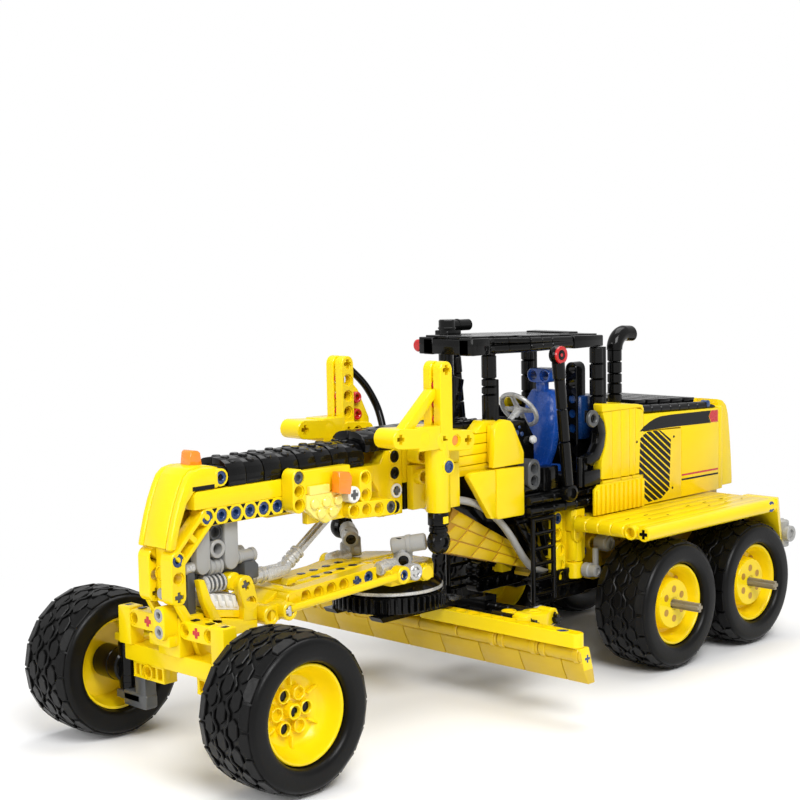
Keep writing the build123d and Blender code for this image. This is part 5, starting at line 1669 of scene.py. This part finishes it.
# %% Rear frame, wheel cases and belly
chassis = bmesh.new()
lump(chassis, (-364.8, -22, 44.2), (-244.4, 22, 79.9))
lump(chassis, (-244.6, -12, 44.2), (-232.4, 12, 79.9))
sides = bmesh.new()
for z in (48.1, 64):
    holed_beam(sides, (-249, 26, z), (-8, 0, 0), 15)
lump(sides, (-364.8, 21.8, 72), (-245, 29.9, 79.9))
for x in (-253, -301, -357):
    lump(sides, (x - 3.8, 22, 51.6), (x + 3.8, 29.8, 60.4))
twin(sides)
absorb(chassis, sides)
for z in (50, 66):
    holed_beam(chassis, (-363.6, -16, z), (0, 8, 0), 5, through=(1, 0, 0), thick=3.2)
piece("rear_frame", chassis, SHADE_PAINTED_YELLOW, hides=("rear_chassis",))
tandem = bmesh.new()
for z in (TYRE_R, 47.2):
    holed_beam(tandem, (-256, 35, z), (-8, 0, 0), 12, thick=9.2)
lump(tandem, (-308, 30.8, 38), (-292, 39.2, 43.6))
twin(tandem)
piece("tandem_cases", tandem, BLACK, hides=("tandem_beams",))
belly = bmesh.new()
for y in (6, 18):
    holed_beam(belly, (-250, y, 40.3), (-8, 0, 0), 13)
for x in (-262, -302, -342):
    lump(belly, (x - 3.8, 0, 37.2), (x + 3.8, 21.8, 44.0))
for z in (40.6, 48.6):
    holed_beam(belly, (-212, 22, z), (-8, 0, 0), 5)
twin(belly)
piece("belly_beams", belly, BLACK)

# %% [markdown]
# Small grey fittings sit beside the columns and behind the last wheels, and a black ladder hangs on each
# side in front of the columns. The fittings are turned profiles and rods, and a ladder is thin rods
# across two upright ones, because both are round on the toy.

# %% Fittings and ladder
fittings = bmesh.new()
turned(fittings, [(0, 0), (3.4, 0), (4.2, 0.6), (4.2, 7), (3.6, 7.6), (3.6, 9), (2.4, 9.4), (2.2, 8.4),
                  (0, 8.4)], (-252, 30.2, 64), LEFT, 20)
turned(fittings, [(0, 0), (3.0, 0), (3.9, 0.6), (3.9, 4), (3.2, 4.6), (3.2, 8.6), (2.0, 9), (1.8, 8),
                  (0, 8)], (-241, 30.2, 51), LEFT, 20)
rod(fittings, (-243, 36, 53), (-243, 36, 63), 1.6, 14)
twin(fittings)
piece("grey_fittings", fittings, GREY)
ladder = bmesh.new()
for x in (-199.4, -215.6):
    rod(ladder, (x, 30, 38.4), (x, 30, 83.6), 1.35, 14, 0.4)
for z in (82.6, 75.4, 67.4, 59.4, 51.4, 43.4):
    rod(ladder, (-216.6, 30, z), (-198.4, 30, z), 1.1, 14, 0.3)
lump(ladder, (-216.9, 28.6, 38.1), (-198.1, 31.4, 40.2), 0.4)
lump(ladder, (-216.6, 28.6, 81), (-198.4, 30, 83.8), 0.3)
twin(ladder)
piece("ladder_rungs", ladder, BLACK, hides=("ladders",))
rear_fit = bmesh.new()
rod(rear_fit, (-368.4, 61, 60), (-376.6, 61, 60), 3.9, 20, 0.5)
rod(rear_fit, (-376.4, 61, 60), (-380.4, 61, 60), 2.9, 20, 0.4)
cross_axle(rear_fit, (-380.2, 61, 60), (-385.9, 61, 60))
rod(rear_fit, (-371.6, 57.3, 60), (-371.6, 64.8, 60), 3.4, 18, 0.4)
rod(rear_fit, (-379.0, 65.2, 47.4), (-379.0, 65.2, 62.6), 3.6, 20, 0.6)
rod(rear_fit, (-379.0, 61, 55.2), (-379.0, 69.8, 55.2), 4.2, 20, 0.6)
ring(rear_fit, (-379.0, 70.2, 55.2), LEFT, 4.6, 2.5, -2.4, 1.0)
twin(rear_fit)
piece("rear_grey_fittings", rear_fit, GREY, hides=("rear_lamps",))

# %% [markdown]
# The louvre block is a row of narrow upright panels under a cap with a soft lip. Its front edge is
# hollowed out round the arch, and a ribbed panel stands at its foot. The panels are separate outlines, so
# their joints are real gaps.

# %% Louvre block
louvres = bmesh.new()
hollow = [(-250, 134.2), (-251.7, 130), (-253.3, 124.6), (-253.2, 119.6), (-251.4, 113.6), (-248.9, 109),
          (-248.7, 98.6)]
slab(louvres, hollow + [(-258, 98.3), (-258, 134.2)], 30.2, 35.9, soft=0.25)
for start, end in ((-258.2, -265.6), (-265.8, -273.2), (-273.4, -278.6), (-278.8, -285.8)):
    slab(louvres, [(start, 98.3), (end, 97.9), (end, 134.2 if end > -280 else 132.4), (start, 134.2)],
         30.2, 35.9, soft=0.25)
slab(louvres, [(-249.4, 134.4), (-249.2, 138.4), (-250.4, 138.8), (-280, 136.2), (-284.6, 135.4),
               (-285.9, 133), (-285.9, 131.2), (-283, 134.2)], 30.2, 36.2, soft=0.35)
for index in range(2):
    lump(louvres, (-285.8 + index * 10, 30.4, 80.4), (-276.4 + index * 10, 35.6, 97.6), 0.3)
lump(louvres, (-265.6, 30.4, 80.4), (-250.4, 35.6, 97.6), 0.3)
slab(louvres, [(-240.6, 80.4), (-281.4, 80.4), (-281.4, 96.4), (-244, 96.4), (-240.6, 94)],
     36.2, 37.6, soft=0.2)
for index in range(11):
    x = -241.6 - index * 3.9
    slab(louvres, [(x, 80.6), (x - 2.0, 80.6), (x - 2.0, 95.8 if index else 94.2),
                   (x, 95.8 if index else 93.4)], 37.4, 38.9, soft=0.3)
twin(louvres)
lump(louvres, (-285.8, -30.4, 80.4), (-266.4, 30.4, 133), 0.4)
slab(louvres, [(-266.4, 133.2), (-266.4, 137.4), (-280, 136.2), (-285.8, 134.8), (-285.8, 133.2)],
     -30.4, 30.4, soft=0.3)
piece("louvre_panels", louvres, YELLOW, hides=("louvre_block",))

# %% [markdown]
# The hood is a row of flat panels with fine joints and a rounded corner post behind. The prints on its
# side are very thin plates: a pointed black band with a red end, a patch of slanted stripes cut from one
# outline with planes, and two fine lines.

# %% Hood
hood = bmesh.new()
for start, end in ((-286.2, -320.8), (-321, -357.8)):
    slab(hood, [(start, 80.4), (end, 80.4), (end, 119.3), (start, 120.6)], 28, 35.9, soft=0.3)
slab(hood, [(-286.2, 120.9), (-357.8, 118.8), (-357.8, 127.6), (-286.2, 130)], 30, 35.9, soft=0.5)
post = [(-358, 28), (-358, 35.9), (-361.6, 35.6), (-364.4, 33.8), (-365.8, 30.6), (-365.9, 28)]
slab(hood, post, 80.4, 128.2, UPRIGHT, 0.5)
twin(hood)
slab(hood, [(-286.2, 80.4), (-365.6, 80.4), (-363.4, 127), (-357, 128.4), (-286.2, 133.4)],
     -28.2, 28.2, soft=0.5)
for y in (-18, 0, 18):
    lump(hood, (-365.95, y - 8, 86), (-364, y + 8, 120), 0.3)
tail = [(-365.9, 131.6), (-371, 130.4), (-374.6, 127.4), (-376.6, 122), (-378.4, 110), (-379.8, 97),
        (-380.8, 84), (-380.8, 80.4), (-365.9, 80.4)]
for low, high in ((-29.8, -15.1), (-14.9, 14.9), (15.1, 29.8)):
    slab(hood, tail, low, high, soft=0.8)
piece("hood_panels", hood, YELLOW, hides=("hood",))
PRINT = (35.9, 36.0)
print_black = bmesh.new()
band = [(-282.4, 121.0), (-286, 123.3), (-290, 125), (-295, 126.6), (-301, 127.6), (-312, 127.7),
        (-349.6, 126.7), (-347.4, 123.4), (-349.6, 119.7), (-310, 120.8)]
slab(print_black, band, *PRINT, soft=0)
patch = [(-288.6, 120.2), (-300.8, 120), (-310.9, 114), (-309.4, 86.4), (-302, 82), (-290.2, 81.4),
         (-285.6, 85), (-285.6, 97.4), (-281.6, 97.6), (-282.8, 117.2)]
across = Vector((0.56, 0, -0.83))
for index in range(16):
    stripe = bmesh.new()
    slab(stripe, patch, *PRINT, soft=0)
    top = Vector((-282.4, 36, 138 - index * 3.75))
    for spot, side in ((top, -1), (top + Vector((0, 0, -2.7)), 1)):
        cut = bmesh.ops.bisect_plane(
            stripe, geom=stripe.verts[:] + stripe.edges[:] + stripe.faces[:],
            plane_co=spot, plane_no=across * side, clear_outer=True
        )["geom_cut"]
        bmesh.ops.edgenet_fill(stripe, edges=only(cut, bmesh.types.BMEdge))
    absorb(print_black, stripe)
slab(print_black, [(-321.2, 89.6), (-321.2, 90.6), (-356.8, 90.3), (-356.8, 89.3)], *PRINT, soft=0)
for x, z in ((-279.8, 115.6), (-313.8, 115.2), (-312.4, 86.6)):
    turned(print_black, [(0, 0.08), (0.7, 0.08), (0.8, 0)], (x, 35.9, z), LEFT, 12)
twin(print_black)
piece("hood_black_prints", print_black, BLACK)
print_red = bmesh.new()
slab(print_red, [(-350, 126.6), (-356.6, 126.4), (-356.6, 119.7), (-350, 119.9), (-347.8, 123.4)],
     *PRINT, soft=0)
slab(print_red, [(-321.2, 92.2), (-321.2, 93.2), (-356.8, 92.9), (-356.8, 91.9)], *PRINT, soft=0)
twin(print_red)
piece("hood_red_prints", print_red, RED)

# %% [markdown]
# The top of the hood is a black grille: a tube along each edge and slanted tiles between them, closed
# behind by a sloping plate. The exhaust is a stack of short tubes with an elbow, which is one ring of
# points spun round a bend.

# %% Hood grille and exhaust
grille = bmesh.new()
slab(grille, [(-286.4, 128), (-286.4, 134.2), (-346, 131.4), (-356.8, 128.9), (-352, 127)], -30, 30)
edges = bmesh.new()
for index in range(7):
    start = -287 - index * 8.6
    level = 132.3 - index * 0.42
    rod(edges, (start, 32.2, level), (start - 8.4, 32.2, level - 0.4), 2.5, 20, 0.4)
slab(edges, [(-347.4, 128), (-347.4, 131.6), (-357, 128.8), (-357, 127.4)], 29, 34)
twin(edges)
absorb(grille, edges)
for index in range(5):
    start = -288 - index * 11.6
    level = 133.9 - index * 0.6
    slab(grille, [(start, level), (start - 9.6, level - 0.4), (start - 10.6, level + 2.7),
                  (start - 1.0, level + 3.3)], -28, 28)
piece("hood_top_grille", grille, BLACK, hides=("hood_grille",))
grille_pins = bmesh.new()
turned(grille_pins, [(0, 0.2), (1.6, 0.2), (2.4, -0.3), (2.4, -4)], (-350, 33.9, 130), LEFT, 16)
twin(grille_pins)
piece("grille_pins", grille_pins, PIN_BLUE)
pipe = bmesh.new()
tube_stack(pipe, (-281, 20), (136.5, 141, 146.8, 152.2, 158.6, 165.2), 4.0)
loops = []
for radius in (4.35, 3.4):
    mouth = bmesh.ops.create_circle(pipe, segments=24, radius=radius,
                                    matrix=Matrix.Translation((-281, 20, 165.0)))["verts"]
    rim = list({edge for vert in mouth for edge in vert.link_edges})
    swept = bmesh.ops.spin(pipe, geom=mouth + rim, cent=(-289.6, 20, 165.0), axis=(0, -1, 0),
                           angle=math.radians(84), steps=16)
    loops += only(swept["geom_last"], bmesh.types.BMEdge)
ends = bmesh.ops.bridge_loops(pipe, edges=loops)["faces"]
push(pipe, ends, (-7.0, 0, -0.4))
piece("exhaust_pipe", pipe, BLACK, hides=("exhaust",))
